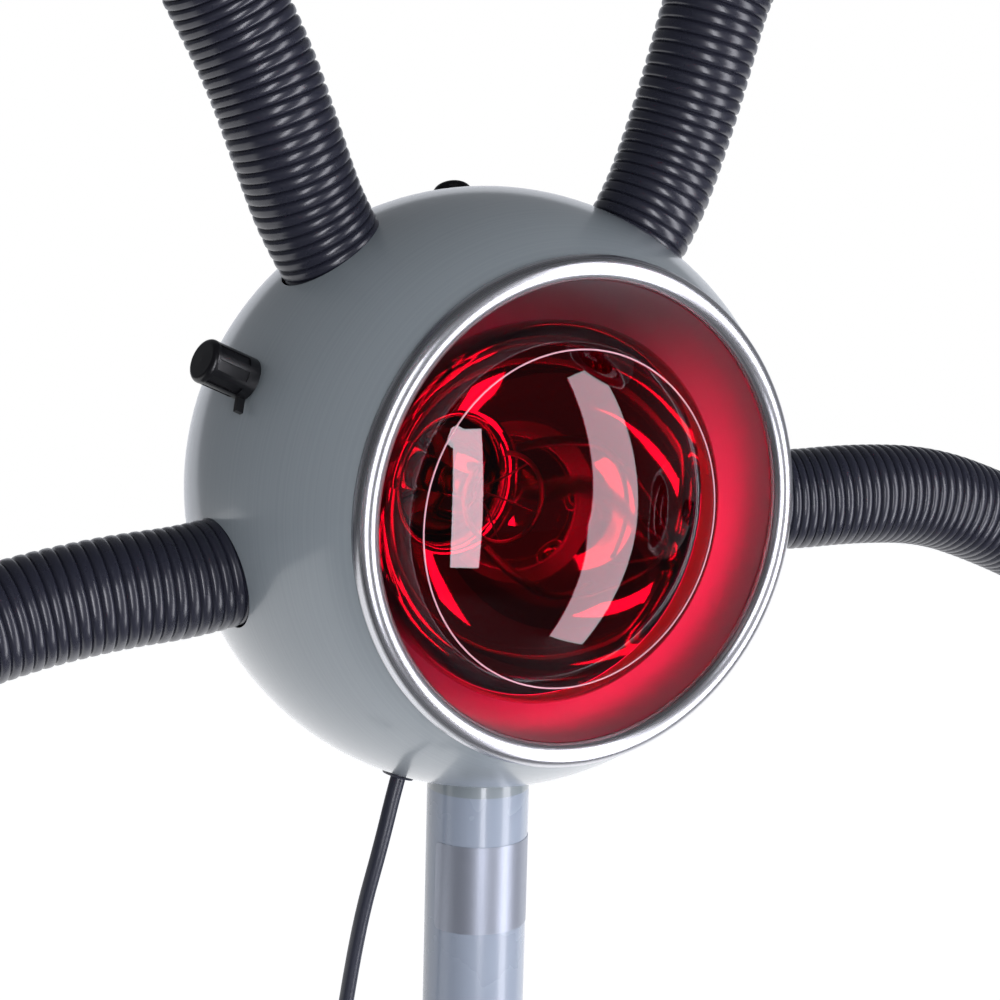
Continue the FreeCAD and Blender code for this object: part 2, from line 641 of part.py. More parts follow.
def rounded_section(reach, width, low, high, corner=4.0):
    """Upright rounded rectangle across a leg, reach from the column's axis."""
    half = width / 2
    bulge = corner * (1 - math.sqrt(0.5))
    ends = [(-half + corner, low), (half - corner, low), (half, low + corner), (half, high - corner),
            (half - corner, high), (-half + corner, high), (-half, high - corner), (-half, low + corner)]
    arcs = [(half - bulge, low + bulge), (half - bulge, high - bulge),
            (-half + bulge, high - bulge), (-half + bulge, low + bulge)]
    ends = [V(reach, y, z) for y, z in ends]
    edges = []
    for n, (y, z) in enumerate(arcs):
        start, end = ends[2 * n], ends[2 * n + 1]
        edges.append(Part.LineSegment(start, end).toShape())
        edges.append(Part.Arc(end, V(reach, y, z), ends[(2 * n + 2) % 8]).toShape())
    return Part.Wire(edges)


def leg():
    """One leg along +X: a tapering bar with the castor's boss at its end."""
    low, high = HUB_BOTTOM + 14, HUB_TOP - 10
    bar = Part.makeLoft([
        rounded_section(LEG_ROOT, LEG_WIDTH, low, high),
        rounded_section(HUB_R + 2, LEG_WIDTH, low, high),
        rounded_section(LEG_REACH * 0.55, (LEG_WIDTH + LEG_END_WIDTH) / 2, BOSS_BOTTOM + 5, BOSS_TOP + 11),
        rounded_section(LEG_REACH, LEG_END_WIDTH, BOSS_BOTTOM + 2, BOSS_TOP - 1)], True, True)
    boss = rod(BOSS_R, V(LEG_REACH, 0, BOSS_BOTTOM), V(LEG_REACH, 0, BOSS_TOP))
    boss = boss.makeFillet(2.0, [e for e in boss.Edges if e.BoundBox.ZMin > BOSS_TOP - 1])
    bolt_at = (LEG_ROOT + HUB_R) / 2
    bolt_hole = rod(BOLT_R + SLIP, V(bolt_at, 0, HUB_TOP - 31), V(bolt_at, 0, HUB_TOP))
    stem_hole = rod(STEM_R + SLIP, V(LEG_REACH, 0, 0), V(LEG_REACH, 0, BOSS_TOP - 4))
    return bar.fuse(boss).cut(stem_hole).cut(bolt_hole)


def leg_bolt():
    """Bolt down through the hub into a leg's root."""
    at = (LEG_ROOT + HUB_R) / 2
    head = rod(5.5, V(at, 0, HUB_TOP + SLIP), V(at, 0, HUB_TOP + 5))
    head = head.cut(hexagon(2.9, HUB_TOP + 2, HUB_TOP + 6, V(at, 0, 0)))
    return head.fuse(rod(BOLT_R, V(at, 0, HUB_TOP - 30), V(at, 0, HUB_TOP + 1)))


def base_hub():
    """Turned hub round the outer column's foot, with a slot for each leg."""
    hub = turned((OUTER_COLUMN_R + PRESSED, HUB_BOTTOM), (HUB_R - 3, HUB_BOTTOM), (HUB_R, HUB_BOTTOM + 3),
                 (HUB_R, HUB_TOP - 4), ((HUB_R - 1.2, HUB_TOP - 1.2), (HUB_R - 4, HUB_TOP)),
                 (OUTER_COLUMN_R + PRESSED, HUB_TOP))
    slot = Part.makeBox(20, LEG_WIDTH + 0.2, HUB_TOP - HUB_BOTTOM - 23.8,
                        V(LEG_ROOT - 0.1, -LEG_WIDTH / 2 - 0.1, HUB_BOTTOM + 13.9))
    bolt_hole = rod(BOLT_R + SLIP, V((LEG_ROOT + HUB_R) / 2, 0, HUB_TOP - 20),
                    V((LEG_ROOT + HUB_R) / 2, 0, HUB_TOP + 5))
    for angle in LEG_ANGLES:
        for tool in (slot, bolt_hole):
            turned_tool = tool.copy()
            turned_tool.rotate(V(0, 0, 0), UP, angle)
            hub = hub.cut(turned_tool)
    return hub


CASTOR_TURNS = [200, 35, 290, 120, 250]      # where each castor happens to trail


def castor_fork():
    """Castor body: stem, plate, web between the wheels and axle. The wheels trail along +X."""
    axle = V(CASTOR_TRAIL, 0, WHEEL_R)
    plate_z = WHEEL_R * 2 + 4
    web = rod(12, axle + V(0, -5, 0), axle + V(0, 5, 0))
    web = web.fuse(Part.makeBox(CASTOR_TRAIL + 12, 10, plate_z - WHEEL_R, V(-8, -5, WHEEL_R)))
    hood = rod(WHEEL_R + 4, axle + V(0, -19, 0), axle + V(0, 19, 0))
    hood = hood.cut(rod(WHEEL_R + 1.6, axle + V(0, -20, 0), axle + V(0, 20, 0)))
    keep = Part.makeBox(50, 40, 26, V(-32, -20, WHEEL_R + 6))
    hood = hood.common(keep)
    plate = rod(14, V(0, 0, plate_z - 2), V(0, 0, BOSS_BOTTOM - LOOSE))
    stem = rod(STEM_R, V(0, 0, plate_z), V(0, 0, BOSS_TOP - 5))
    pin = rod(AXLE_R, axle + V(0, -5 - WHEEL_WIDTH - 1, 0), axle + V(0, 5 + WHEEL_WIDTH + 1, 0))
    fork = web.fuse(hood).fuse(plate).fuse(stem).fuse(pin)
    wheel_room = rod(WHEEL_R + 1.6, axle + V(0, 5, 0), axle + V(0, 30, 0))
    wheel_room = wheel_room.fuse(rod(WHEEL_R + 1.6, axle + V(0, -30, 0), axle + V(0, -5, 0)))
    return fork.cut(wheel_room.cut(rod(AXLE_R, axle + V(0, -30, 0), axle + V(0, 30, 0))))


def castor_wheels():
    """The two wheels of a castor, on its axle."""
    wheels = []
    for side in (-1, 1):
        inner, outer = 5 + LOOSE * 2, 5 + LOOSE * 2 + WHEEL_WIDTH
        wheel = turned((AXLE_R + SLIP, inner), (WHEEL_R - 1.5, inner), (WHEEL_R, inner + 1.5),
                       (WHEEL_R, outer - 3), ((WHEEL_R - 0.9, outer - 0.9), (WHEEL_R - 3, outer)),
                       (WHEEL_R - 8, outer - 1.2), (AXLE_R + 3, outer - 1.2), (AXLE_R + SLIP, outer - 1.2))
        wheels.append(stood_on(wheel, V(CASTOR_TRAIL, 0, WHEEL_R), V(0, side, 0), UP))
    return wheels


# --- assembly -------------------------------------------------------------------------------------
def satellite_frame(arm):
    """Lamp axis and the direction in which the sleeve enters, of one satellite lamp."""
    axis = unit(AIM - arm["lamp"])
    towards_arm = arm["route"][-3] - arm["lamp"]
    entry = unit(towards_arm - axis * towards_arm.dot(axis))
    return axis, entry


def satellite_place(shape, arm):
    """Moves a part of a lamp that faces -Y, sleeve hole up, to its satellite's place."""
    axis, entry = satellite_frame(arm)
    centre = HEAD + arm["lamp"]
    y_axis = axis * -1
    x_axis = y_axis.cross(entry)
    matrix = FreeCAD.Matrix(
        x_axis.x, y_axis.x, entry.x, centre.x,
        x_axis.y, y_axis.y, entry.y, centre.y,
        x_axis.z, y_axis.z, entry.z, centre.z)
    return placed(shape, matrix)


def end_fitting(centre, along):
    """Locknut round the sleeve's end inside a ball, and the ferrule between sleeve and gooseneck."""
    nut_out = on_sphere(BALL_R - SHADE_WALL, HOSE_NUT_R) - LOOSE
    nut = tube(HOSE_NUT_R, HOSE_R + SLIP, centre + along * (nut_out - HOSE_NUT_DEPTH), centre + along * nut_out)
    ferrule = tube(HOSE_BORE_R - SLIP, GOOSENECK_R + SLIP, centre + along * (BALL_R - 16),
                   centre + along * BALL_R)
    return [nut, ferrule]


def flex_arm(name, arm):
    """Corrugated sleeve (its ribs are left out here), gooseneck and the fittings at both ends."""
    axis, entry = satellite_frame(arm)
    leaves = direction(*arm["leaves"])
    lamp = HEAD + arm["lamp"]
    points = [HEAD + leaves * (BALL_R - 16), HEAD + leaves * (BALL_R + 6)]
    points += [HEAD + step for step in arm["route"]]
    points += [lamp + entry * (BALL_R + 6), lamp + entry * (BALL_R - 16)]
    path = bent_path(points, f"flex_arm_{name}")
    sleeve = swept(HOSE_R, points, path).cut(swept(HOSE_BORE_R, points, path))
    gooseneck = swept(GOOSENECK_R, points, path)
    return [sleeve, gooseneck] + end_fitting(HEAD, leaves) + end_fitting(lamp, entry)


def in_head(shape):
    return moved(shape, HEAD)


os.makedirs("parts", exist_ok=True)

write("base_hub", base_hub())
legs, bolts = [], []
for n, angle in enumerate(LEG_ANGLES):
    for made, group in ((leg(), legs), (leg_bolt(), bolts)):
        made.rotate(V(0, 0, 0), UP, angle)
        group.append(made)
    reach = V(LEG_REACH * math.cos(math.radians(angle)), LEG_REACH * math.sin(math.radians(angle)), 0)
    castor = [castor_fork()] + castor_wheels()
    for piece in castor:
        piece.rotate(V(0, 0, 0), UP, CASTOR_TURNS[n])
        piece.translate(reach)
    write(f"castor_fork_{n + 1}", castor[0])
    write(f"castor_wheels_{n + 1}", *castor[1:])
write("base_legs", *legs)
write("leg_bolts", *bolts)
write("outer_column", tube(OUTER_COLUMN_R, OUTER_COLUMN_R - COLUMN_WALL, V(0, 0, HUB_BOTTOM),
                           V(0, 0, OUTER_COLUMN_TOP)))
write("clamp_collar", clamp_collar())
write("clamp_knob", clamp_knob())
write("column_bush", column_bush())

write("inner_column", tube(COLUMN_R, COLUMN_R - COLUMN_WALL, V(0, 0, OUTER_COLUMN_TOP - COLUMN_OVERLAP),
                           V(0, 0, COLUMN_TOP)))
write("column_top_plug", in_head(column_top_plug()))
write("column_bracket", in_head(column_bracket()))
write("head_housing", in_head(head_housing()))
write("head_reflector", in_head(reflector()))
write("head_bulb_glass", in_head(bulb_glass()))
write("head_bulb_cap", in_head(bulb_cap()))
write("head_bulb_filament", in_head(bulb_filament()))
write("head_lampholder", in_head(lampholder()))
write("lampholder_bracket", in_head(lampholder_bracket()))
write("rear_cover", in_head(rear_cover().cut(Part.makeCompound(
    [rod(1.6, along * (BALL_R - 5), along * (BALL_R + 5)) for along in screw_places()]))))
write("rear_cover_screws", *[in_head(cover_screw(along)) for along in screw_places()])
write("timer_body", in_head(control_body(direction(*TIMER))))
write("dimmer_body", in_head(control_body(direction(*DIMMER))))
write("panel_nuts", *[in_head(panel_nut(direction(*place))) for place in (TIMER, DIMMER)])
write("timer_knob", in_head(control_knob(direction(*TIMER), V(0.25, -0.3, -1))))
write("dimmer_knob", in_head(control_knob(direction(*DIMMER), V(1, 0, 0))))
write("cord_gland", in_head(cord_gland()))
write("mains_cord", mains_cord())
write("mains_cord_coil", mains_cord_coil())
write("mains_plug", mains_plug())

terminal_block = Part.makeBox(26, 26, 14, V(17, -4, BRACKET_SHELF))
for n in range(4):
    terminal_block = terminal_block.cut(rod(2, V(20.5 + 6.3 * n, 2, BRACKET_SHELF + 4),
                                            V(20.5 + 6.3 * n, 2, BRACKET_SHELF + 20)))
write("terminal_block", in_head(terminal_block))

SLEEVING_R = 1.5
WIRE_END = CONTROL_R + LOOSE     # a control's terminals are on its side
CONTROL_MIDDLE = BALL_R - 14
TIMER_AXIS, DIMMER_AXIS, LEAD_AXIS = direction(*TIMER), direction(*DIMMER), direction(*CORD_EXIT)
TIMER_SIDE = unit(BACK - TIMER_AXIS * TIMER_AXIS.dot(BACK))
DIMMER_SIDE = unit(V(1, 0, 0) - DIMMER_AXIS * DIMMER_AXIS.x)
SHELF = V(0, 0, BRACKET_SHELF)
# their ends lie on the terminal block, the controls and the lead
WIRES = {
    "to the holder": [SHELF + V(30, 22.8, 7), SHELF + V(30, 36, 12), V(24, 52, -50), V(16, 62, -34),
                      V(9, 66, -19.6)],
    "to the timer": [SHELF + V(20, 22.8, 10), SHELF + V(14, 36, 16), V(-8, 48, -56), V(-34, 52, -40),
                     V(-54, 46, -14), V(-67, 34, 12), TIMER_AXIS * CONTROL_MIDDLE + TIMER_SIDE * 30,
                     TIMER_AXIS * CONTROL_MIDDLE + TIMER_SIDE * WIRE_END],
    "to the dimmer": [SHELF + V(38, 22.9, 8), SHELF + V(46, 38, 18), V(56, 54, -32), V(60, 58, 4),
                      V(52, 52, 38), DIMMER_AXIS * (CONTROL_MIDDLE - 2) + DIMMER_SIDE * 30,
                      DIMMER_AXIS * (CONTROL_MIDDLE - 2) + DIMMER_SIDE * WIRE_END],
    "from the lead": [LEAD_AXIS * (BALL_R - 25.2), SHELF + V(-21.6, 0.8, 9.6), SHELF + V(-17, 8, 11),
                      SHELF + V(-8, 15, 11.4), SHELF + V(3, 17, 11), SHELF + V(11, 14, 9.5),
                      SHELF + V(16.2, 10.4, 8.2)],
}
wires = []
for name, points in WIRES.items():
    wires.append(in_head(swept(SLEEVING_R, points, bent_path(points, f"wire {name}"))))
write("internal_wiring", *wires)

for name, arm in ARMS.items():
    write(f"flex_arm_{name}", *flex_arm(name, arm))
    write(f"lamp_shade_{name}", satellite_place(satellite_shade(UP), arm))
    write(f"lamp_reflector_{name}", satellite_place(reflector(), arm))
    bulb = [bulb_glass(), bulb_cap(), bulb_filament()]
    write(f"lamp_bulb_{name}", *[satellite_place(piece, arm) for piece in bulb])
    write(f"lamp_holder_{name}", satellite_place(lampholder(REAR_DEPTH - SHADE_WALL - LOOSE), arm))
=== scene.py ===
# %% [markdown]
# A floor-standing hair colour processor: a middle infrared lamp on a telescopic column, four more
# lamps on flexible arms and a base on castors. The construction comes in as a fixed frame of CAD
# pieces. What is made here is what the eye needs beyond it: ribs, red glass, foil, the mains lead
# and the finish of every surface. Lengths are in metres, and MM turns millimetres into metres.

# %% The frame and a few helpers
import json
import math

import bmesh
import bpy
from mathutils import Matrix, Vector


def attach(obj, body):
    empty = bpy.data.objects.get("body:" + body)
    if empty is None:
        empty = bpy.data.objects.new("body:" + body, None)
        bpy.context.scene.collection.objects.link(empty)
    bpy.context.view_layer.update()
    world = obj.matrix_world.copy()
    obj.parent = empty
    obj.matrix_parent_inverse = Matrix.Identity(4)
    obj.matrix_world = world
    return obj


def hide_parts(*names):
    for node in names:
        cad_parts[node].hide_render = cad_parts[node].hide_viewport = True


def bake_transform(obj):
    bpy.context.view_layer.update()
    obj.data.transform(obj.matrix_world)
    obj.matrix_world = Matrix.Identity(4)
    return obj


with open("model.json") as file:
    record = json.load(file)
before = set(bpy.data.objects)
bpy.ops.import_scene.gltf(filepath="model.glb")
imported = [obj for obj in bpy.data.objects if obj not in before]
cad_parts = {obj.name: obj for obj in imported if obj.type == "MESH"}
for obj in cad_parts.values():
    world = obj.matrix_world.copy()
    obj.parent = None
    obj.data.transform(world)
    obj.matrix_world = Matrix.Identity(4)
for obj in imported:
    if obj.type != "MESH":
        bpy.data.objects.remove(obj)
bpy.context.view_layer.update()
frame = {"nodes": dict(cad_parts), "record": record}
nodes = frame["nodes"]
MM = 0.001
UP = Vector((0, 0, 1))
HEAD = Vector((0, 0, 1.25))      # centre of the middle lamp
print("CAD nodes:", len(nodes))


def mm(x, y, z):
    """A point in metres from one in millimetres."""
    return Vector((x, y, z)) * MM


def point_on(angle, forward, radius):
    """A point around the middle lamp: degrees from +X towards +Z, a lean to the front, and mm out."""
    angle, forward = math.radians(angle), math.radians(forward)
    return HEAD + mm(math.cos(angle) * math.cos(forward), -math.sin(forward),
                     math.sin(angle) * math.cos(forward)) * radius


def link(obj):
    """Puts an object in the scene."""
    bpy.context.scene.collection.objects.link(obj)
    return obj


def new_object(name, mesh, material):
    """Makes an object of a finished mesh, smooth except at edges sharper than 35 degrees."""
    obj = link(bpy.data.objects.new(name, mesh))
    mesh.materials.append(material)
    mesh.polygons.foreach_set("use_smooth", [True] * len(mesh.polygons))
    mesh.set_sharp_from_angle(angle=math.radians(35))
    print(f"{name}: {len(mesh.polygons)} faces")
    return obj


def to_mesh(name, bm):
    """Closes a bmesh into a mesh, with its normals outwards."""
    bmesh.ops.remove_doubles(bm, verts=bm.verts, dist=0.00001)
    bmesh.ops.recalc_face_normals(bm, faces=bm.faces)
    mesh = bpy.data.meshes.new(name)
    bm.to_mesh(mesh)
    bm.free()
    return mesh


# %% [markdown]
# Two kinds of outline recur: a stretch of an arc, given by its two ends and a point between them,
# and a profile of (radius, height) that is spun about an axis, as a metal spinner or a glass
# blower makes it. The spin is a full turn whose last ring is merged with its first.

# %% Arcs and spun shapes
def arc(start, via, end, steps):
    """Points of the arc from start to end through via, without its start."""
    (ax, ay), (bx, by), (cx, cy) = start, via, end
    d = 2 * (ax * (by - cy) + bx * (cy - ay) + cx * (ay - by))
    aa, bb, cc = ax * ax + ay * ay, bx * bx + by * by, cx * cx + cy * cy
    ox = (aa * (by - cy) + bb * (cy - ay) + cc * (ay - by)) / d
    oy = (aa * (cx - bx) + bb * (ax - cx) + cc * (bx - ax)) / d
    radius = math.hypot(ax - ox, ay - oy)
    first = math.atan2(ay - oy, ax - ox)
    middle = (math.atan2(by - oy, bx - ox) - first) % (2 * math.pi)
    turn = (math.atan2(cy - oy, cx - ox) - first) % (2 * math.pi)
    if middle > turn:
        turn -= 2 * math.pi
    angles = [first + turn * n / steps for n in range(1, steps + 1)]
    return [(ox + radius * math.cos(a), oy + radius * math.sin(a)) for a in angles]


def spun(profile, segments, closed=True):
    """A bmesh of a (radius, height) outline in mm, spun about Z."""
    bm = bmesh.new()
    verts = [bm.verts.new(mm(r, 0, h)) for r, h in profile]
    edges = [bm.edges.new(pair) for pair in zip(verts, verts[1:])]
    if closed:
        edges.append(bm.edges.new((verts[-1], verts[0])))
    bmesh.ops.spin(bm, geom=verts + edges, cent=(0, 0, 0), axis=(0, 0, 1), angle=2 * math.pi,
                   steps=segments, use_merge=True)
    bmesh.ops.dissolve_degenerate(bm, edges=bm.edges, dist=0.000001)
    return bm


def stand(bm, base, axis, facing=UP):
    """Moves a bmesh from the origin to base, with its Z along axis and its X near facing."""
    z = axis.normalized()
    x = (facing - z * facing.dot(z)).normalized()
    turn = Matrix((x, z.cross(x), z)).transposed().to_4x4()
    bmesh.ops.transform(bm, matrix=Matrix.Translation(base) @ turn, verts=bm.verts)
    return bm


# %% [markdown]
# A material here is a Principled shader and a few nodes that break up its colour, its roughness or
# its surface. Hex colours are how paint charts and screens give them, so one function turns them
# into the linear values that the renderer works in.

# %% Material helpers
def linear(hex_colour):
    """Linear RGBA of an sRGB hex colour."""
    values = [int(hex_colour[n:n + 2], 16) / 255 for n in (1, 3, 5)]
    return [v / 12.92 if v <= 0.04045 else ((v + 0.055) / 1.055) ** 2.4 for v in values] + [1]


def add(tree, kind, inputs=None, links=None, **settings):
    """Adds a node with its settings, the values of its sockets and its links."""
    node = tree.nodes.new(kind)
    for key, value in settings.items():
        setattr(node, key, value)
    for key, value in (inputs or {}).items():
        node.inputs[key].default_value = value
    for key, (source, output) in (links or {}).items():
        tree.links.new(source.outputs[output], node.inputs[key])
    return node


def principled(name, **values):
    """A material with its shader's own values set. Names are the sockets', with _ for a space."""
    material = bpy.data.materials.new(name)
    material.use_nodes = True
    shader = material.node_tree.nodes["Principled BSDF"]
    for key, value in values.items():
        shader.inputs[key.replace("_", " ")].default_value = value
    return material, material.node_tree, shader


def drive(tree, shader, **links):
    """Links nodes' outputs to the shader's sockets."""
    for key, (source, output) in links.items():
        tree.links.new(source.outputs[output], shader.inputs[key.replace("_", " ")])


def uneven_shine(tree, per_metre, detail, low, high):
    """A roughness between low and high, and the noise that it follows: so many grains to a metre."""
    place = add(tree, "ShaderNodeTexCoord")
    noise = add(tree, "ShaderNodeTexNoise", {"Scale": per_metre, "Detail": detail},
                {"Vector": (place, "Object")})
    rough = add(tree, "ShaderNodeMapRange", {"To Min": low, "To Max": high}, {"Value": (noise, "Fac")})
    return rough, noise


def depth_along(tree, centre, axis):
    """How far a place on the object lies from centre along axis, in metres."""
    place = add(tree, "ShaderNodeTexCoord")
    out = add(tree, "ShaderNodeVectorMath", {1: tuple(centre)}, {0: (place, "Object")},
              operation="SUBTRACT")
    return add(tree, "ShaderNodeVectorMath", {1: tuple(axis)}, {0: (out, "Vector")},
               operation="DOT_PRODUCT")


# %% [markdown]
# The viewpoint is a little above the middle lamp and to its left, about 0.67 m away. The lens is
# long, so the ball keeps its round outline.

# %% Camera
CAMERA_FROM_HEAD = mm(-333.83, -574.54, 95.86)
CAMERA_TURN = math.radians(-30.59)
CAMERA_DIP = math.radians(8.564)
CAMERA_ROLL = math.radians(1.495)

camera_data = bpy.data.cameras.new("camera")
camera_data.sensor_width = 36
camera_data.lens = 72
camera_data.clip_start = 0.02
camera = link(bpy.data.objects.new("camera", camera_data))
camera.matrix_world = (Matrix.Translation(HEAD + CAMERA_FROM_HEAD)
                       @ Matrix.Rotation(CAMERA_TURN, 4, "Z")
                       @ Matrix.Rotation(math.pi / 2 - CAMERA_DIP, 4, "X")
                       @ Matrix.Rotation(CAMERA_ROLL, 4, "Z"))
bpy.context.scene.camera = camera
print("camera at", [round(v, 3) for v in camera.matrix_world.translation])

# %% [markdown]
# The mains lead is a round two-core cord with a smooth black jacket. It leaves the ball at its
# lower left, hangs down and back between two legs, and its spare length lies wound in a flat coil
# on the floor, tied once. A NURBS spline is used, because it bends evenly between its points as a
# cord does. Its points are the route, then the turns of the coil, then the way into the plug.

# %% Mains lead: the route and the coil
LEAD_R = 2.6
LEAD_EXIT = (-108.0, 0.0)        # where it leaves the ball, as point_on has it
GLAND_R, BALL_R = 75, 100        # from the ball's centre to the gland, and to the skin
LEAD_ROUTE = [(-37, 0, 1130.5), (-41.5, 4.5, 1106), (-44.5, 9.5, 1074), (-47.5, 14.5, 1033),
              (-52, 21, 975), (-58.5, 29, 905), (-66.5, 40, 832), (-77, 52, 758), (-88, 67, 685),
              (-101, 84, 612), (-113, 104, 538), (-128, 123, 466), (-142, 144, 396),
              (-157, 165, 330), (-171, 186, 268), (-186, 205, 212), (-201, 226, 162),
              (-217, 247, 118), (-234, 269, 80), (-251, 293, 48), (-268, 318, 23),
              (-286, 343, 8), (-304, 367, LEAD_R), (-319, 388, LEAD_R)]
COIL_MEAN_R = 28.6
COIL_LIFT = 0.6                  # the tie passes under the turns
TURNS_WIDE = 4                   # in two layers: inwards on the floor, and outwards on top of it
POINTS_A_TURN = 14
STEP_SHARE = 0.25                # the share of a turn in which the cord moves to the next one
PLUG_THICK = 16
LEAD_IN_PLUG = 14

heading = mm(*LEAD_ROUTE[-1]) - mm(*LEAD_ROUTE[-2])
heading.z = 0
heading.normalize()
aside = heading.cross(UP)
outer_turn = COIL_MEAN_R + (TURNS_WIDE - 1) * LEAD_R
coil_reach = math.sqrt((outer_turn + LEAD_R) ** 2 - (outer_turn - LEAD_R) ** 2)
coil_centre = mm(*LEAD_ROUTE[-1]) + (heading * (coil_reach + 0.2) + aside * outer_turn) * MM
coil_centre.z = 0


def coil_points():
    """Control points of the coil's turns, which end where they began, a layer higher."""
    inwards = [(outer_turn - 2 * LEAD_R * n, LEAD_R + COIL_LIFT) for n in range(TURNS_WIDE)]
    stops = inwards + [(radius, height + 2 * LEAD_R) for radius, height in inwards[::-1]]
    # a spline keeps inside its control points, so they lie a little outside the turn
    outset = 1 / math.cos(math.pi / POINTS_A_TURN)
    points = []
    for n in range(len(stops) * POINTS_A_TURN + 1):
        turn = min(n // POINTS_A_TURN, len(stops) - 1)
        step = max(0.0, (n / POINTS_A_TURN - turn - 1 + STEP_SHARE) / STEP_SHARE)
        here, after = stops[turn], stops[min(turn + 1, len(stops) - 1)]
        radius = here[0] + (after[0] - here[0]) * step
        height = here[1] + (after[1] - here[1]) * step
        angle = 2 * math.pi * n / POINTS_A_TURN
        spot = (heading * math.sin(angle) - aside * math.cos(angle)) * radius * outset
        points.append(coil_centre + (spot + Vector((0, 0, height))) * MM)
    return points


plug_start = coil_centre + (heading * (coil_reach + 0.8) - aside * outer_turn) * MM
plug_start.z = PLUG_THICK / 2 * MM
lead_points = [point_on(*LEAD_EXIT, GLAND_R), point_on(*LEAD_EXIT, BALL_R)]
lead_points += [mm(*p) for p in LEAD_ROUTE] + coil_points()
lead_points += [plug_start, plug_start + heading * LEAD_IN_PLUG * MM]


def spline_curve(name, points, bevel=0.0):
    """A curve of one open NURBS spline with these control points."""
    data = bpy.data.curves.new(name, "CURVE")
    data.dimensions = "3D"
    data.bevel_depth = bevel
    data.bevel_resolution = 6
    data.resolution_u = 6
    spline = data.splines.new("NURBS")
    spline.points.add(len(points) - 1)
    for control, place in zip(spline.points, points):
        control.co = (*place, 1)
    spline.order_u = 3
    spline.use_endpoint_u = True
    return bpy.data.objects.new(name, data)


def centreline(points):
    """The points of the smooth line that a spline with these control points follows."""
    guide = link(spline_curve("guide", points))
    bpy.context.view_layer.update()
    mesh = bpy.data.meshes.new_from_object(guide)
    line = [v.co.copy() for v in mesh.vertices]
    bpy.data.objects.remove(guide)
    bpy.data.meshes.remove(mesh)
    return line


lead_line = centreline(lead_points)

# %% [markdown]
# The jacket of such a cord is soft black PVC. It is extruded, so it is smooth along its length with
# faint drawing lines, and it shines softly. The tube is made from the spline itself with a round
# bevel, and it is turned into a mesh.

# %% Mains lead: the jacket
def pvc_jacket():
    """Extruded PVC: charcoal, semi-matt, with a faint waviness in its shine."""
    material, tree, shader = principled("extruded_black_pvc", Base_Color=linear("#2b2d38"), Roughness=0.36,
                                        IOR=1.53)
    rough, noise = uneven_shine(tree, 260, 3, 0.28, 0.46)
    bump = add(tree, "ShaderNodeBump", {"Strength": 0.12, "Distance": 0.0002}, {"Height": (noise, "Fac")})
    drive(tree, shader, Roughness=(rough, "Result"), Normal=(bump, "Normal"))
    return material


pvc = pvc_jacket()
lead_curve = link(spline_curve("lead_curve", lead_points, LEAD_R * MM))
bpy.context.view_layer.update()
lead_curve.data.use_fill_caps = True
lead = new_object("mains_lead", bpy.data.meshes.new_from_object(lead_curve), pvc)
bpy.data.objects.remove(lead_curve)
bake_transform(lead)
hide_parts("mains_cord", "mains_cord_coil")

# %% [markdown]
# The far end is a flat moulded plug with two round pins. Its waist is shaped for the fingers, and a
# ribbed sleeve keeps the lead from bending sharply where it enters. It is one moulding in the same
# black PVC as the lead, so body and sleeve are made as two closed shapes of one finish.

# %% Mains plug
RELIEF_LENGTH = 30
RELIEF_RINGS, RELIEF_PITCH = 6, 4.4
PLUG_LENGTH, PLUG_WIDE = 40, 36
PIN_R, PIN_LENGTH, PIN_GAP = 2.4, 19, 19


def plug_relief():
    """Tapered sleeve with rings moulded round it."""
    outline = [(LEAD_R, 0), (3.6, 0)]
    for n in range(RELIEF_RINGS):
        along = 2 + n * RELIEF_PITCH
        radius = 3.6 + 2.4 * along / RELIEF_LENGTH
        outline += [(radius, along), (radius + 0.5, along + 0.8), (radius + 0.6, along + 2.6),
                    (radius + 0.1, along + 3.4)]
    outline += [(6.0, RELIEF_LENGTH), (LEAD_R, RELIEF_LENGTH)]
    return spun(outline, 32)


def plug_body():
    """Flat body: a hexagonal outline drawn out, narrower at the waist, with soft edges."""
    bm = bmesh.new()
    half = PLUG_WIDE / 2
    outline = [(0, 7.5), (9, 10), (16, 16.4), (24, half), (34, half - 0.6), (PLUG_LENGTH, half - 1.5)]
    corners = outline + [(x, -y) for x, y in outline[::-1]]
    bottom = bm.faces.new([bm.verts.new(mm(y, -PLUG_THICK / 2, x)) for x, y in corners])
    drawn = bmesh.ops.extrude_face_region(bm, geom=[bottom])
    lifted = [v for v in drawn["geom"] if isinstance(v, bmesh.types.BMVert)]
    bmesh.ops.translate(bm, vec=mm(0, PLUG_THICK, 0), verts=lifted)
    bmesh.ops.bevel(bm, geom=bm.edges, affect="EDGES", offset=2.4 * MM, segments=4, profile=0.5,
                    material=-1, clamp_overlap=True)
    return bm


def plug_pin():
    """Round pin with a domed end, a little thicker at its root."""
    tip = arc((PIN_R, PIN_LENGTH - 1.5), (1.6, PIN_LENGTH - 0.4), (0, PIN_LENGTH), 5)
    shank = PIN_R - 0.15
    side = [(0, -4), (PIN_R, -4), (PIN_R, 9.5), (shank, 9.6), (shank, PIN_LENGTH - 1.5)]
    return spun(side + tip, 24, closed=False)


def nickel_plate():
    """Nickel-plated brass, drawn and tumbled: a warm white metal with a soft shine."""
    material, tree, shader = principled("nickel_plated_brass", Base_Color=linear("#c9c5bb"), Metallic=1,
                                        Roughness=0.22)
    rough, _ = uneven_shine(tree, 900, 4, 0.16, 0.34)
    drive(tree, shader, Roughness=(rough, "Result"))
    return material


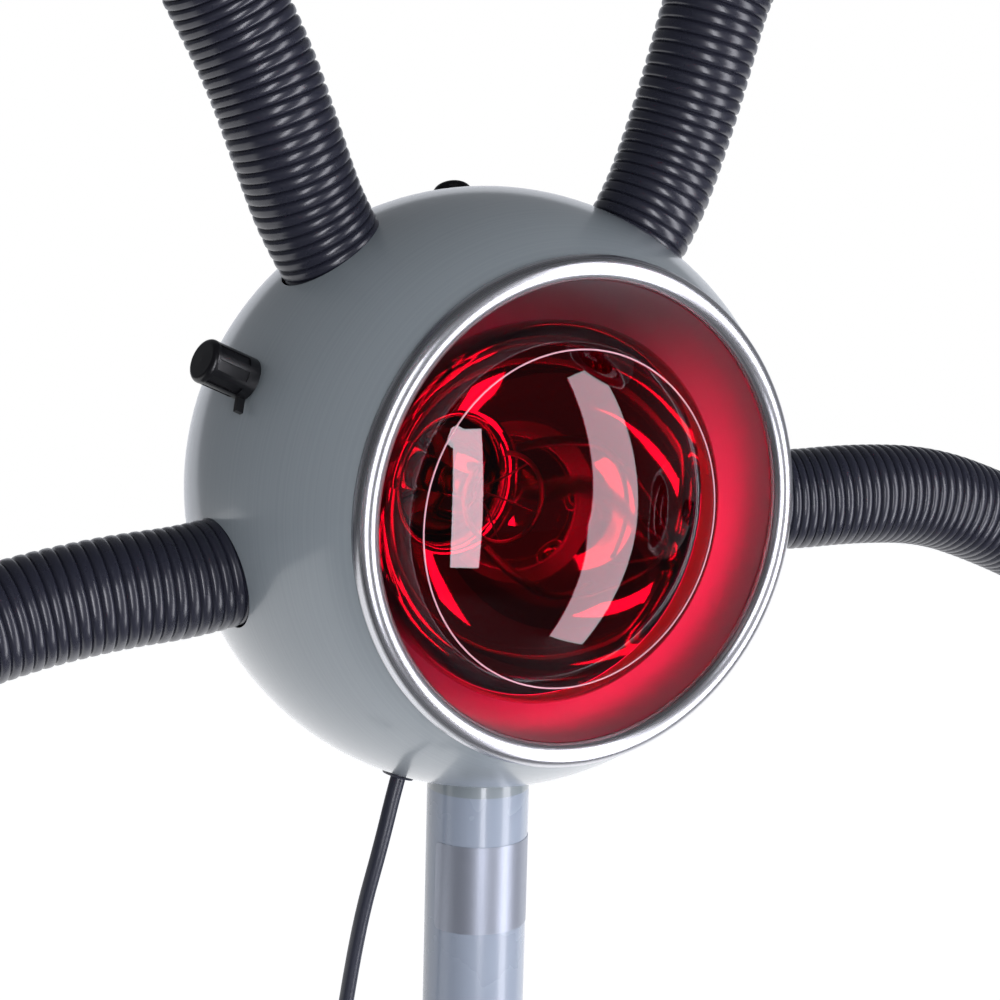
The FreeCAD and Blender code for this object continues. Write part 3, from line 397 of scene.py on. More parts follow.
nickel = nickel_plate()
level = UP.cross(heading)
plug_parts = []
relief = new_object("plug_relief", to_mesh("plug_relief", stand(plug_relief(), plug_start, heading)), pvc)
body_start = plug_start + heading * RELIEF_LENGTH * MM
body = new_object("plug_body", to_mesh("plug_body", stand(plug_body(), body_start, heading, level)), pvc)
plug_parts += [relief, body]
for side in (-1, 1):
    root = body_start + (heading * PLUG_LENGTH + level * side * PIN_GAP / 2) * MM
    pin = new_object(f"plug_pin_{side + 2}", to_mesh("plug_pin", stand(plug_pin(), root, heading)), nickel)
    plug_parts.append(pin)
for piece in plug_parts:
    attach(piece, "swivel")
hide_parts("mains_plug")

# %% [markdown]
# One strap holds the coil together. It is a woven hook-and-loop tie that goes once round all the
# turns, with its end lying flat on top. Its outline is a rounded rectangle, drawn out to its width.

# %% The coil's tie
TIE_WIDE, TIE_THICK = 10.0, 0.5


def coil_tie():
    """Closed band round the coil's section, with its X outwards from the coil's centre."""
    bm = bmesh.new()
    half, low, high = TURNS_WIDE * LEAD_R, COIL_LIFT, COIL_LIFT + 4 * LEAD_R
    bmesh.ops.create_cube(bm, size=1)
    bmesh.ops.scale(bm, vec=mm(2 * half, TIE_WIDE, high - low), verts=bm.verts)
    bmesh.ops.translate(bm, vec=mm(0, 0, (low + high) / 2), verts=bm.verts)
    ends = [f for f in bm.faces if abs(f.normal.y) > 0.9]
    bmesh.ops.delete(bm, geom=ends, context="FACES_ONLY")
    long_edges = [e for e in bm.edges if not e.is_boundary]
    bmesh.ops.bevel(bm, geom=long_edges, affect="EDGES", offset=2.2 * MM, segments=5, profile=0.5,
                    material=-1)
    bmesh.ops.recalc_face_normals(bm, faces=bm.faces)
    bmesh.ops.solidify(bm, geom=bm.faces[:], thickness=TIE_THICK * MM)
    return bm


def tie_tail():
    """The strap's free end, pressed onto the band."""
    bm = bmesh.new()
    bmesh.ops.create_cube(bm, size=1)
    bmesh.ops.scale(bm, vec=mm(13, TIE_WIDE - 0.6, 1.0), verts=bm.verts)
    bmesh.ops.translate(bm, vec=mm(1, 0, COIL_LIFT + 4 * LEAD_R + TIE_THICK + 0.55), verts=bm.verts)
    bmesh.ops.bevel(bm, geom=bm.edges, affect="EDGES", offset=0.4 * MM, segments=3, profile=0.5,
                    material=-1)
    return bm


def woven_nylon():
    """Black hook-and-loop webbing: matt, with a weave of about half a millimetre."""
    material, tree, shader = principled("woven_nylon_webbing", Base_Color=linear("#202126"), Roughness=0.8)
    place = add(tree, "ShaderNodeTexCoord")
    weave = add(tree, "ShaderNodeTexVoronoi", {"Scale": 1900}, {"Vector": (place, "Object")})
    bump = add(tree, "ShaderNodeBump", {"Strength": 0.7, "Distance": 0.0002},
               {"Height": (weave, "Distance")})
    tint = add(tree, "ShaderNodeMix", {6: linear("#17181c"), 7: linear("#34353b")},
               {0: (weave, "Distance")}, data_type="RGBA")
    drive(tree, shader, Base_Color=(tint, 2), Normal=(bump, "Normal"))
    return material


webbing = woven_nylon()
tie_spot = coil_centre + aside * COIL_MEAN_R * MM
for piece_name, made in (("coil_tie", coil_tie()), ("coil_tie_end", tie_tail())):
    stand(made, tie_spot, UP, aside)
    piece = new_object(piece_name, to_mesh(piece_name, made), webbing)
    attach(piece, "swivel")
    plug_parts.append(piece)

# %% [markdown]
# Each arm is a steel gooseneck inside a corrugated sleeve of black polyamide, blown in a mould, so
# its rings are round on top and parted by narrow grooves. A straight sleeve is spun ring by ring
# and then bent along the arm's line. It is made in two halves that meet at the middle of the arm:
# one runs from the ball, and the other from its lamp.

# %% Arms: the corrugated sleeve
SLEEVE_R, SLEEVE_BORE_R = 17.6, 14.5
RIB_DEPTH = 1.1
RIB_OUTLINE = [(0.0, 1.0), (0.06, 0.6), (0.16, 0.2), (0.30, 0.03), (0.5, 0.0), (0.70, 0.03),
               (0.84, 0.2), (0.94, 0.6)]
SLEEVE_SEGMENTS = 44
SLEEVE_START, SLEEVE_OUT = 84, 106  # from a ball's centre: inside its wall, and just outside it

ARMS = {
    "upper_left": {
        "leaves": (127.3, 0.9), "lamp": (-255, -225, 300), "pitches": (3.4, 3.4, 3.4),
        "route": [(-76.5, -4.5, 111.5), (-85, -3.5, 134), (-99, -3, 159), (-117.5, -9.5, 185.5),
                  (-139, -25.5, 212), (-163, -54, 236.5), (-189.5, -94, 259)]},
    "upper_right": {
        "leaves": (59.1, 6.1), "lamp": (255, -225, 300), "pitches": (4.0, 4.0, 4.0),
        "route": [(63.5, -12.5, 116), (69, -16.5, 141.5), (75.5, -19, 170.5), (89, -25.5, 198),
                  (110, -38, 223.5), (140.5, -60, 245.5), (180.5, -92.5, 264.5)]},
    "left": {
        "leaves": (192.8, 1.8), "lamp": (-400, -225, -15), "pitches": (3.5, 3.8, 4.2),
        "route": [(-131.5, -1.5, -25.5), (-161.5, 1.5, -31), (-193.5, -2, -39), (-228, -14.5, -43.5),
                  (-266, -40, -42), (-307.5, -78.5, -35.5)]},
    "right": {
        "leaves": (-3.8, 13.4), "lamp": (400, -225, -55), "pitches": (3.25, 3.05, 3.6),
        "route": [(130.5, -34, -4), (161, -38, -5.5), (190.5, -39.5, -15), (221.5, -41, -28),
                  (254, -51.5, -39), (286.5, -72.5, -46.5), (320, -102.5, -51.5)]},
}
AIM = HEAD + mm(0, -480, -30)    # where all the lamps shine


def lamp_frame(arm):
    """Centre of an arm's lamp, the way it shines and the way its sleeve comes in."""
    centre = HEAD + mm(*arm["lamp"])
    axis = (AIM - centre).normalized()
    towards_arm = HEAD + mm(*arm["route"][-3]) - centre
    return centre, axis, (towards_arm - axis * towards_arm.dot(axis)).normalized()


def arm_line(arm):
    """Smooth line of an arm, from inside the middle ball to inside its lamp."""
    centre, _, entry = lamp_frame(arm)
    points = [point_on(*arm["leaves"], SLEEVE_START), point_on(*arm["leaves"], SLEEVE_OUT)]
    points += [HEAD + mm(*p) for p in arm["route"]]
    points += [centre + entry * SLEEVE_OUT * MM, centre + entry * SLEEVE_START * MM]
    return centreline(points)


def frames_along(line):
    """Distances, places and unturning side directions along a line."""
    tangent = (line[1] - line[0]).normalized()
    side = tangent.orthogonal().normalized()
    lengths, places, tangents, sides = [0.0], [line[0]], [tangent], [side]
    for before, here, after in zip(line, line[1:], line[2:] + [2 * line[-1] - line[-2]]):
        tangent = (after - before).normalized()
        side = (side - tangent * side.dot(tangent)).normalized()
        places.append(here)
        lengths.append(lengths[-1] + (here - before).length)
        tangents.append(tangent)
        sides.append(side)
    return lengths, places, tangents, sides


def bend_along(bm, line):
    """Moves a bmesh that lies along Z onto a line: its height becomes the way along the line."""
    lengths, places, tangents, sides = frames_along(line)
    spot = 0
    for vert in sorted(bm.verts, key=lambda v: v.co.z):
        along = vert.co.z
        while spot < len(lengths) - 2 and lengths[spot + 1] < along:
            spot += 1
        share = (along - lengths[spot]) / (lengths[spot + 1] - lengths[spot])
        place = places[spot].lerp(places[spot + 1], share)
        tangent = tangents[spot].lerp(tangents[spot + 1], share).normalized()
        side = sides[spot].lerp(sides[spot + 1], share).normalized()
        vert.co = place + side * vert.co.x + tangent.cross(side) * vert.co.y


def rib_edges(length, pitches):
    """Distances in mm, along a sleeve, of the grooves between its ribs. A sleeve gives like a
    bellows, so its pitch isn't even: pitches has it 20, 60 and 100 mm from the start."""
    first, apart = 20, 40
    edges = [0.0]
    while edges[-1] < length:
        stage = min(max((edges[-1] - first) / apart, 0), 2)
        before = min(int(stage), 1)
        growth = pitches[before + 1] - pitches[before]
        edges.append(edges[-1] + pitches[before] + growth * (stage - before))
    return [edge * length / edges[-1] for edge in edges]


def ribbed_tube(edges):
    """Straight corrugated tube with a rib between each two grooves, closed through its smooth bore."""
    outline = [(SLEEVE_R - RIB_DEPTH * deep, low + (high - low) * share)
               for low, high in zip(edges, edges[1:]) for share, deep in RIB_OUTLINE]
    outline.append((SLEEVE_R - RIB_DEPTH, edges[-1]))
    # the bore has rings of its own, so that it bends with the outside
    return spun(outline + [(SLEEVE_BORE_R, edge) for edge in edges[::-1]], SLEEVE_SEGMENTS)


def polyamide():
    """Blow-moulded black polyamide: blue-black, with a satin skin and faint mould chatter."""
    material, tree, shader = principled("blow_moulded_polyamide", Base_Color=linear("#262732"),
                                        Roughness=0.27, IOR=1.6)
    rough, noise = uneven_shine(tree, 140, 5, 0.23, 0.33)
    bump = add(tree, "ShaderNodeBump", {"Strength": 0.04, "Distance": 0.0002}, {"Height": (noise, "Fac")})
    drive(tree, shader, Roughness=(rough, "Result"), Normal=(bump, "Normal"))
    return material


sleeve_plastic = polyamide()
for name, arm in ARMS.items():
    line = arm_line(arm)
    length = sum((b - a).length for a, b in zip(line, line[1:]))
    edges = rib_edges(length / MM, arm["pitches"])
    middle = len(edges) // 2
    centre, _, entry = lamp_frame(arm)
    halves = []
    for half, stretch in enumerate((edges[:middle + 1], edges[middle:])):
        bm = ribbed_tube(stretch)
        bend_along(bm, line)
        sleeve = to_mesh(f"sleeve_{name}", bm)
        halves.append(new_object(f"sleeve_{name}_{half + 1}", sleeve, sleeve_plastic))
    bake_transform(halves[0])
    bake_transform(halves[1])
    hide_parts(f"flex_arm_{name}")
    print(f"arm {name}: {length / MM:.0f} mm, {len(edges) - 1} ribs")

# %% [markdown]
# The bulb is a reflector lamp of ruby glass, pressed and blown with a wall of about a millimetre.
# Behind its widest part it is silvered inside. So the glass is spun as a closed wall with an inner
# and an outer side, which bends light as a real bulb does, and the silvering is a thin shell of
# its own just inside. A fine frosted bead runs where the front dome was fused to the bowl.

# %% Bulbs: glass and silvering
BULB_WALL = 1.0
SEAM_R, SEAM_Y, SEAM_THICK = 53.6, -56.3, 0.27
SILVER_GAP, SILVER_THICK = 0.06, 0.12
SILVER_FRONT, SILVER_END = -41, 56
# the painted glow of the silvering's outer side: the way from a lamp's centre along which it grows, and
# its greatest strength
PAINTED_GLOW_TOWARDS, PAINTED_GLOW_MOST = (0.7, 0, -0.71), 5.8


def bulb_side(inset):
    """Outline of the bulb's wall from the front of the dome to the end of the neck."""
    front, shoulder, widest = -70 + inset, (53.5 - 0.3 * inset, -56 + inset), (61.5 - inset, -43)
    side = [(0, front)] + arc((0, front), (27.8, -66.6 + inset), shoulder, 24)
    side += arc(shoulder, (59.2 - 0.8 * inset, -51 + 0.6 * inset), widest, 14)
    side += arc(widest, (59.8 - inset, -27), (54.2 - 0.9 * inset, -11 - 0.3 * inset), 18)
    side += arc(side[-1], (44.4 - 0.9 * inset, 4 - 0.6 * inset), (25 - 0.8 * inset, 19), 24)
    side += arc(side[-1], (20.8 - 0.9 * inset, 25.5), (19 - inset, 35), 10)
    return side + [(18 - inset, 55), (12.2 - inset, 60.5), (12.2 - inset, 70)]


def bulb_envelope():
    """The glass: its outer side, and back along its inner side."""
    return spun(bulb_side(0) + bulb_side(BULB_WALL)[::-1], 128, closed=False)


def bulb_silvering():
    """The part of the bulb's inside from just behind its widest ring to the neck."""
    outside = [p for p in bulb_side(BULB_WALL + SILVER_GAP) if SILVER_FRONT < p[1] < SILVER_END]
    inside = [(r - SILVER_THICK, y) for r, y in outside]
    return spun(outside + inside[::-1], 128)


def bulb_seam():
    """The thin frosted bead where the front was fused on."""
    around = [2 * math.pi * n / 8 for n in range(8)]
    section = [(SEAM_R + SEAM_THICK * math.cos(a), SEAM_Y + SEAM_THICK * math.sin(a)) for a in around]
    return spun(section, 128)


def ruby_glass():
    """Ruby glass, coloured through its wall, with a fire-polished skin."""
    return principled("ruby_glass", Base_Color=linear("#cb214b"), Roughness=0.0, IOR=1.5,
                      Transmission_Weight=1.0)[0]


def silvering():
    """Aluminium vapour on glass: a mirror with the glass's own slight waves."""
    material, tree, shader = principled("vapour_silvering", Base_Color=linear("#e9e9ec"), Metallic=1,
                                        Roughness=0.04)
    place = add(tree, "ShaderNodeTexCoord")
    noise = add(tree, "ShaderNodeTexNoise", {"Scale": 26, "Detail": 0}, {"Vector": (place, "Object")})
    bump = add(tree, "ShaderNodeBump", {"Strength": 0.12, "Distance": 0.0016}, {"Height": (noise, "Fac")})
    drive(tree, shader, Normal=(bump, "Normal"))
    return material


def painted_glow_silvering(name, centre):
    """The silvering's outer side, seen through the ruby wall. It has a painted glow: red light that it
    emits in place of the light that the red glass lets through, and which tints the reflector around it.
    The painted glow is weaker at its top and left."""
    material, tree, shader = principled(name, Base_Color=linear("#c4142c"), Metallic=1, Roughness=0.35,
                                        Emission_Color=linear("#e632a0"))
    low = depth_along(tree, centre, PAINTED_GLOW_TOWARDS)
    # the painted glow grows along that way, so the top and left of the silvering are left darker: painted
    # shade
    painted_glow = add(tree, "ShaderNodeMapRange", {"From Min": -0.005, "From Max": 0.05, "To Max": PAINTED_GLOW_MOST},
               {"Value": (low, "Value")})
    rough, _ = uneven_shine(tree, 60, 2, 0.28, 0.42)
    drive(tree, shader, Roughness=(rough, "Result"), Emission_Strength=(painted_glow, "Result"))
    return material


def frosted_seam():
    """Glass that was melted and pressed flat at the seam: whitish, scattering."""
    material, tree, shader = principled("frosted_glass_seam", Base_Color=linear("#dba0ac"), Roughness=0.45,
                                        IOR=1.5)
    rough, _ = uneven_shine(tree, 700, 2, 0.35, 0.6)
    drive(tree, shader, Roughness=(rough, "Result"))
    return material


ruby, silver, seam_glass = ruby_glass(), silvering(), frosted_seam()

# %% [markdown]
# Inside the bulb a clear glass stem carries two lead wires and three supports, and they hold the
# tungsten filament in a ring. The wires are drawn thin but not thinner than the eye can pick out.

# %% Bulbs: stem, wires and filament
STEM_FRONT, STEM_BACK = 2, 66
WIRE_R = 0.35
FILAMENT_RING_R, FILAMENT_Y, FILAMENT_R = 15.0, -12.0, 0.9
FILAMENT_TURN = 318              # degrees of the ring


def bulb_stem():
    """Clear stem, flared at the back where it is sealed into the neck."""
    side = [(0, STEM_FRONT), (3.4, STEM_FRONT + 0.6), (4.4, STEM_FRONT + 3), (4.2, STEM_FRONT + 10),
            (5.0, STEM_FRONT + 26)]
    return spun(side + [(8.0, 58), (10.6, 64), (10.6, STEM_BACK), (0, STEM_BACK)], 32, closed=False)


def straight_wire(bm, start, end, radius):
    """Adds a round wire between two points in mm."""
    start, end = Vector(start) * MM, Vector(end) * MM
    turn = (end - start).to_track_quat("Z", "Y").to_matrix().to_4x4()
    bmesh.ops.create_cone(bm, segments=10, radius1=radius * MM, radius2=radius * MM, cap_ends=True,
                          depth=(end - start).length, matrix=Matrix.Translation((start + end) / 2) @ turn)


def bulb_wires():
    """Two lead wires and three supports, from the stem to the filament's ring."""
    bm = bmesh.new()
    for n, angle in enumerate((40, 112, 184, 256, 328)):
        out = Vector((math.cos(math.radians(angle)), math.sin(math.radians(angle)), 0))
        foot = out * 2.2 + Vector((0, 0, STEM_FRONT + 1))
        knee = out * 7 + Vector((0, 0, -4))
        straight_wire(bm, foot, knee, WIRE_R)
        straight_wire(bm, knee, out * FILAMENT_RING_R + Vector((0, 0, FILAMENT_Y)), WIRE_R)
    return bm


def bulb_filament():
    """Open ring of coiled tungsten, as a rod with the coil's outside diameter."""
    bm = bmesh.new()
    circle = bmesh.ops.create_circle(bm, segments=8, radius=FILAMENT_R * MM,
                                     matrix=Matrix.Translation(mm(FILAMENT_RING_R, 0, FILAMENT_Y))
                                     @ Matrix.Rotation(math.pi / 2, 4, "X"))
    edges = list({e for v in circle["verts"] for e in v.link_edges})
    bmesh.ops.spin(bm, geom=circle["verts"] + edges, cent=mm(0, 0, FILAMENT_Y), axis=(0, 0, 1),
                   angle=math.radians(FILAMENT_TURN), steps=80)
    ends = [e for e in bm.edges if e.is_boundary]
    bmesh.ops.edgeloop_fill(bm, edges=ends)
    return bm


def clear_glass():
    """Clear lead glass of a stem."""
    return principled("stem_glass", Base_Color=linear("#f4f6f4"), Roughness=0.02, IOR=1.52,
                      Transmission_Weight=1.0)[0]


def molybdenum():
    """Drawn wire, a little oxidised: grey with a soft shine."""
    return principled("molybdenum_wire", Base_Color=linear("#8a8784"), Metallic=1, Roughness=0.35)[0]


stem_glass, wire_metal = clear_glass(), molybdenum()
INWARDS = Vector((0, 1, 0))      # from the mouth of the middle lamp into it
SOCKET_DEPTH = 75                # where a bulb is held, behind its lamp's centre


def fit_bulb(name, centre, into, body, hides, droop=0.0):
    """Makes a bulb's pieces, turned so that the lamp's depth runs along into. A bulb that hangs
    loosely in its socket droops by some degrees, about the socket."""
    socket = centre + into * SOCKET_DEPTH * MM
    sag = Matrix.Translation(socket) @ Matrix.Rotation(math.radians(droop), 4, "X")
    sag = sag @ Matrix.Translation(-socket)
    pieces = {}
    for part, made, finish in (
            ("glass", bulb_envelope(), ruby), ("seam", bulb_seam(), seam_glass),
            ("silvering", bulb_silvering(), silver), ("stem", bulb_stem(), stem_glass),
            ("wires", bulb_wires(), wire_metal), ("filament", bulb_filament(), wire_metal)):
        full = f"bulb_{part}_{name}"
        stand(made, centre, into)
        bmesh.ops.transform(made, matrix=sag, verts=made.verts)
        pieces[part] = new_object(full, to_mesh(full, made), finish)
        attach(pieces[part], body)
    # the silvering's outer skin faces away from the lamp's axis, and it gets the painted glow
    back = pieces["silvering"].data
    back.materials.append(painted_glow_silvering(f"ruby_silvering_painted_glow_{name}", centre))
    for face in back.polygons:
        out = face.center - centre
        out -= into * out.dot(into)
        if face.normal.dot(out) > 0:
            face.material_index = 1
    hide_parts(*hides)


fit_bulb("head", HEAD, INWARDS, "mast", ["head_bulb_glass", "head_bulb_filament"], droop=1.25)

# %% [markdown]
# The satellites' CAD bulb is one node of glass, cap and filament, so its cap is made here as well.
# The real cap is a brass thread rolled from sheet, with a black glass insulator and a solder
# contact. The lampholder hides those, so the whole cap is spun in one piece, in brass.

# %% Bulbs of the satellites, with their caps
def bulb_cap():
    """Screw thread as six rolled rings."""
    side = [(12.4, 62.5), (13.1, 62.5), (13.1, 63.5)]
    pitch = 3.6
    for turn in range(6):
        low = 63.5 + turn * pitch
        side += arc((13.1, low), (13.7, low + pitch / 2), (13.1, low + pitch), 4)
    return spun(side + [(11.4, 87), (5, 91.5), (4.5, 94), (0, 94), (0, 84), (12.4, 84)], 48, closed=False)


def rolled_brass():
    """Rolled brass, nickel-washed and a little dulled by heat."""
    material, tree, shader = principled("rolled_brass", Base_Color=linear("#c3ab77"), Metallic=1,
                                        Roughness=0.3)
    rough, _ = uneven_shine(tree, 300, 4, 0.2, 0.45)
    drive(tree, shader, Roughness=(rough, "Result"))
    return material


brass = rolled_brass()
for name, arm in ARMS.items():
    centre, axis, _ = lamp_frame(arm)
    fit_bulb(name, centre, -axis, f"lamp_{name}", [f"lamp_bulb_{name}"])
    cap = new_object(f"bulb_cap_{name}", to_mesh("bulb_cap", stand(bulb_cap(), centre, -axis)), brass)
    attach(cap, f"lamp_{name}")

# %% [markdown]
# A silver foil label is stuck on the column just under the head. It stays bare. It is cut flat with
# rounded corners, sliced upwards so that it can bend, and wrapped round the tube.

# %% The bare foil label
LABEL_WIDE, LABEL_HIGH, LABEL_CORNER, LABEL_THICK = 50.0, 30.5, 2.0, 0.12
LABEL_MIDDLE = -135.3            # below the head's centre
LABEL_SLICES, LABEL_LIFT = 48, 0.03
COLUMN_R = 17.5


def foil_label():
    """The foil, sliced upright and wrapped round the front of the column."""
    bm = bmesh.new()
    corners = [(-1, -1), (1, -1), (1, 1), (-1, 1)]
    face = bm.faces.new([bm.verts.new(mm(x * LABEL_WIDE / 2, 0, z * LABEL_HIGH / 2)) for x, z in corners])
    bmesh.ops.bevel(bm, geom=list(face.verts), affect="VERTICES", offset=LABEL_CORNER * MM, segments=4,
                    profile=0.5, material=-1)
    for n in range(1, LABEL_SLICES):
        at = mm(LABEL_WIDE * (n / LABEL_SLICES - 0.5), 0, 0)
        bmesh.ops.bisect_plane(bm, geom=bm.verts[:] + bm.edges[:] + bm.faces[:], plane_co=at,
                               plane_no=(1, 0, 0))
    bmesh.ops.solidify(bm, geom=bm.faces[:], thickness=LABEL_THICK * MM)
    for vert in bm.verts:
        radius = (COLUMN_R + LABEL_LIFT) * MM + abs(vert.co.y)
        angle = vert.co.x / (COLUMN_R * MM)
        vert.co = Vector((radius * math.sin(angle), -radius * math.cos(angle),
                          HEAD.z + LABEL_MIDDLE * MM + vert.co.z))
    return bm


def silver_foil():
    """Metallised polyester with a matt lacquer: pale silver, faintly brushed along its length."""
    material, tree, shader = principled("metallised_polyester", Base_Color=linear("#a1a6b1"), Metallic=0.6,
                                        Roughness=0.36)
    place = add(tree, "ShaderNodeTexCoord")
    grain = add(tree, "ShaderNodeMapping", {"Scale": (60, 60, 2400)}, {"Vector": (place, "Object")})
    noise = add(tree, "ShaderNodeTexNoise", {"Scale": 1, "Detail": 3}, {"Vector": (grain, "Vector")})
    rough = add(tree, "ShaderNodeMapRange", {"To Min": 0.30, "To Max": 0.48}, {"Value": (noise, "Fac")})
    drive(tree, shader, Roughness=(rough, "Result"))
    return material


label = new_object("foil_label", to_mesh("foil_label", foil_label()), silver_foil())
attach(label, "mast")

# %% [markdown]
# The balls are spun from aluminium sheet and stoved in grey enamel. The spinner's tool leaves fine
# rings round the lamp's axis, and the enamel does not quite hide them. So a noise that depends
# only on the depth along that axis gives the rings, and each lamp has the finish turned its way.

# %% Finish: enamelled balls
RING_SPACING = 1.1               # mm between the spinner's rings
BALL_GREY = "#8d9598"
RIM_DEPTH = 0.0614               # from a lamp's centre forwards to its rolled rim


def spun_enamel(name, axis, centre):
    """Grey stoved enamel over a spun surface whose rings lie round axis."""
    material, tree, shader = principled(name, Base_Color=linear(BALL_GREY), Roughness=0.42, IOR=1.5,
                                        Coat_Weight=1.0, Coat_Roughness=0.14)
    depth = depth_along(tree, centre, axis)
    ring_noise = {"Scale": 1 / (RING_SPACING * MM), "Detail": 4, "Roughness": 0.7}
    rings = add(tree, "ShaderNodeTexNoise", ring_noise, {"W": (depth, "Value")}, noise_dimensions="1D")
    tint = add(tree, "ShaderNodeValToRGB", links={"Fac": (rings, "Fac")})
    for stop, colour, position in zip(tint.color_ramp.elements, ("#8a9295", "#91999c"), (0.25, 0.75)):
        stop.color = linear(colour)
        stop.position = position
    bump = add(tree, "ShaderNodeBump", {"Strength": 0.08, "Distance": 0.00012}, {"Height": (rings, "Fac")})
    rough, _ = uneven_shine(tree, 18, 2, 0.36, 0.48)
    drive(tree, shader, Base_Color=(tint, "Color"), Roughness=(rough, "Result"), Normal=(bump, "Normal"))
    return material


def spun_mirror(name, axis, centre):
    """Brushed aluminium of a reflector, a little hazed, with the brush's rings round its axis."""
    material, tree, shader = principled(name, Base_Color=linear("#cfcfd3"), Metallic=0.96, Roughness=0.32)
    depth = depth_along(tree, centre, axis)
    rings = add(tree, "ShaderNodeTexNoise", {"Scale": 1800, "Detail": 5, "Roughness": 0.7},
                {"W": (depth, "Value")}, noise_dimensions="1D")
    # the rolled rim, in front of the bowl's edge, is burnished
    bowl = add(tree, "ShaderNodeMapRange", {"From Min": RIM_DEPTH - 0.0006, "From Max": RIM_DEPTH,
                                            "To Min": 0.5, "To Max": 0.28}, {"Value": (depth, "Value")})
    share = add(tree, "ShaderNodeMapRange", {"To Min": 0.75, "To Max": 1.25}, {"Value": (rings, "Fac")})
    rough = add(tree, "ShaderNodeMath", links={0: (bowl, "Result"), 1: (share, "Result")},
                operation="MULTIPLY")
    bump = add(tree, "ShaderNodeBump", {"Strength": 0.10, "Distance": 0.00006}, {"Height": (rings, "Fac")})
    drive(tree, shader, Roughness=(rough, "Value"), Normal=(bump, "Normal"))
    return material


# %% [markdown]
# The other pieces keep their CAD shape. Each has one finish, looked up by its material slot, and a
# few small functions make them: paint, moulded plastic, plated steel and so on. Each finish has a
# noise at the size of its real grain, which breaks up the roughness and dents the surface a little.

# %% Finishes for the CAD pieces
def grained(name, colour, roughness, grain_mm, bump_share, metallic=0.0, coat=0.0):
    """A finish whose roughness and surface vary with a grain of this size."""
    material, tree, shader = principled(name, Base_Color=linear(colour), Roughness=roughness,
                                        Metallic=metallic, Coat_Weight=coat, Coat_Roughness=0.1)
    rough, noise = uneven_shine(tree, 1 / (grain_mm * MM), 4, roughness * 0.8, min(1, roughness * 1.3))
    bump = add(tree, "ShaderNodeBump", {"Strength": bump_share, "Distance": grain_mm * MM * 0.1},
               {"Height": (noise, "Fac")})
    drive(tree, shader, Roughness=(rough, "Result"), Normal=(bump, "Normal"))
    return material


finishes = {
    "hub_paint": grained("textured_powder_coat", "#2c2d31", 0.5, 0.9, 0.6),
    "leg_paint": grained("stoved_grey_enamel", "#8d9299", 0.30, 4, 0.1, coat=0.3),
    "column_paint": grained("stoved_lilac_grey_enamel", "#959eab", 0.26, 40, 0.02, coat=0.3),
    "bolt_steel": grained("zinc_plated_steel", "#b4b7ba", 0.32, 0.6, 0.2, metallic=1),
    "plug_enamel": grained("stoved_grey_enamel_of_the_plug", "#868e91", 0.34, 4, 0.05, coat=0.8),
    "zinc_steel": grained("zinc_plated_sheet", "#b9bbbd", 0.34, 2, 0.1, metallic=1),
    "cap_brass": brass,
    "porcelain": grained("glazed_steatite", "#ded9cd", 0.16, 6, 0.1, coat=0.5),
    "collar_plastic": grained("moulded_black_nylon", "#202126", 0.42, 0.5, 0.4),
    "knob_plastic": grained("moulded_black_abs", "#111114", 0.30, 0.4, 0.2),
    "control_plastic": grained("pressed_phenolic", "#5a4028", 0.4, 0.7, 0.3),
    "castor_plastic": grained("moulded_black_polyamide", "#1d1e21", 0.45, 0.5, 0.4),
    "nylon": grained("natural_nylon", "#dcdad2", 0.4, 1, 0.1),
    "wire_plastic": grained("glass_fibre_sleeving", "#a6a395", 0.7, 0.5, 0.8),
    "wheel_rubber": grained("grey_black_rubber", "#2a2a2d", 0.55, 0.7, 0.5),
    "cord_rubber": pvc,
    "plug_rubber": pvc,
    "hose_plastic": sleeve_plastic,
    "bulb_glass": ruby,
    "filament_steel": wire_metal,
}
lamps = {"head": (Vector((0, -1, 0)), HEAD)}
for name, arm in ARMS.items():
    centre, axis, _ = lamp_frame(arm)
    lamps[name] = (axis, centre)
for part in frame["record"]["subparts"]:
    node, slot = part["node"], part["material_slot"]
    named = [name for name in sorted(lamps, key=len, reverse=True) if node.endswith("_" + name)]
    lamp = named[0] if named else "head"
    if slot == "shade_aluminium":
        finish = spun_enamel(f"spun_enamel_{node}", *lamps[lamp])
    elif slot == "reflector_aluminium":
        finish = spun_mirror(f"polished_aluminium_{lamp}", *lamps[lamp])
    else:
        finish = finishes[slot]
    mesh = nodes[node].data
    mesh.materials.clear()
    mesh.materials.append(finish)
print("finishes:", len(finishes))

# %% [markdown]
# The studio is plain: a white backdrop, a tall soft box to the right and a smaller one beside the
# viewpoint. A real studio is dark on the viewer's side, and polished metal and glass show that,
# so the sky that they reflect is white behind the object and dims towards the front.

# %% Floor, sky and lamps
bpy.context.scene.view_settings.view_transform = "Standard"

floor_bm = bmesh.new()
bmesh.ops.create_grid(floor_bm, x_segments=1, y_segments=1, size=6)
floor_mesh = bpy.data.meshes.new("studio_floor")
floor_bm.to_mesh(floor_mesh)
floor_bm.free()


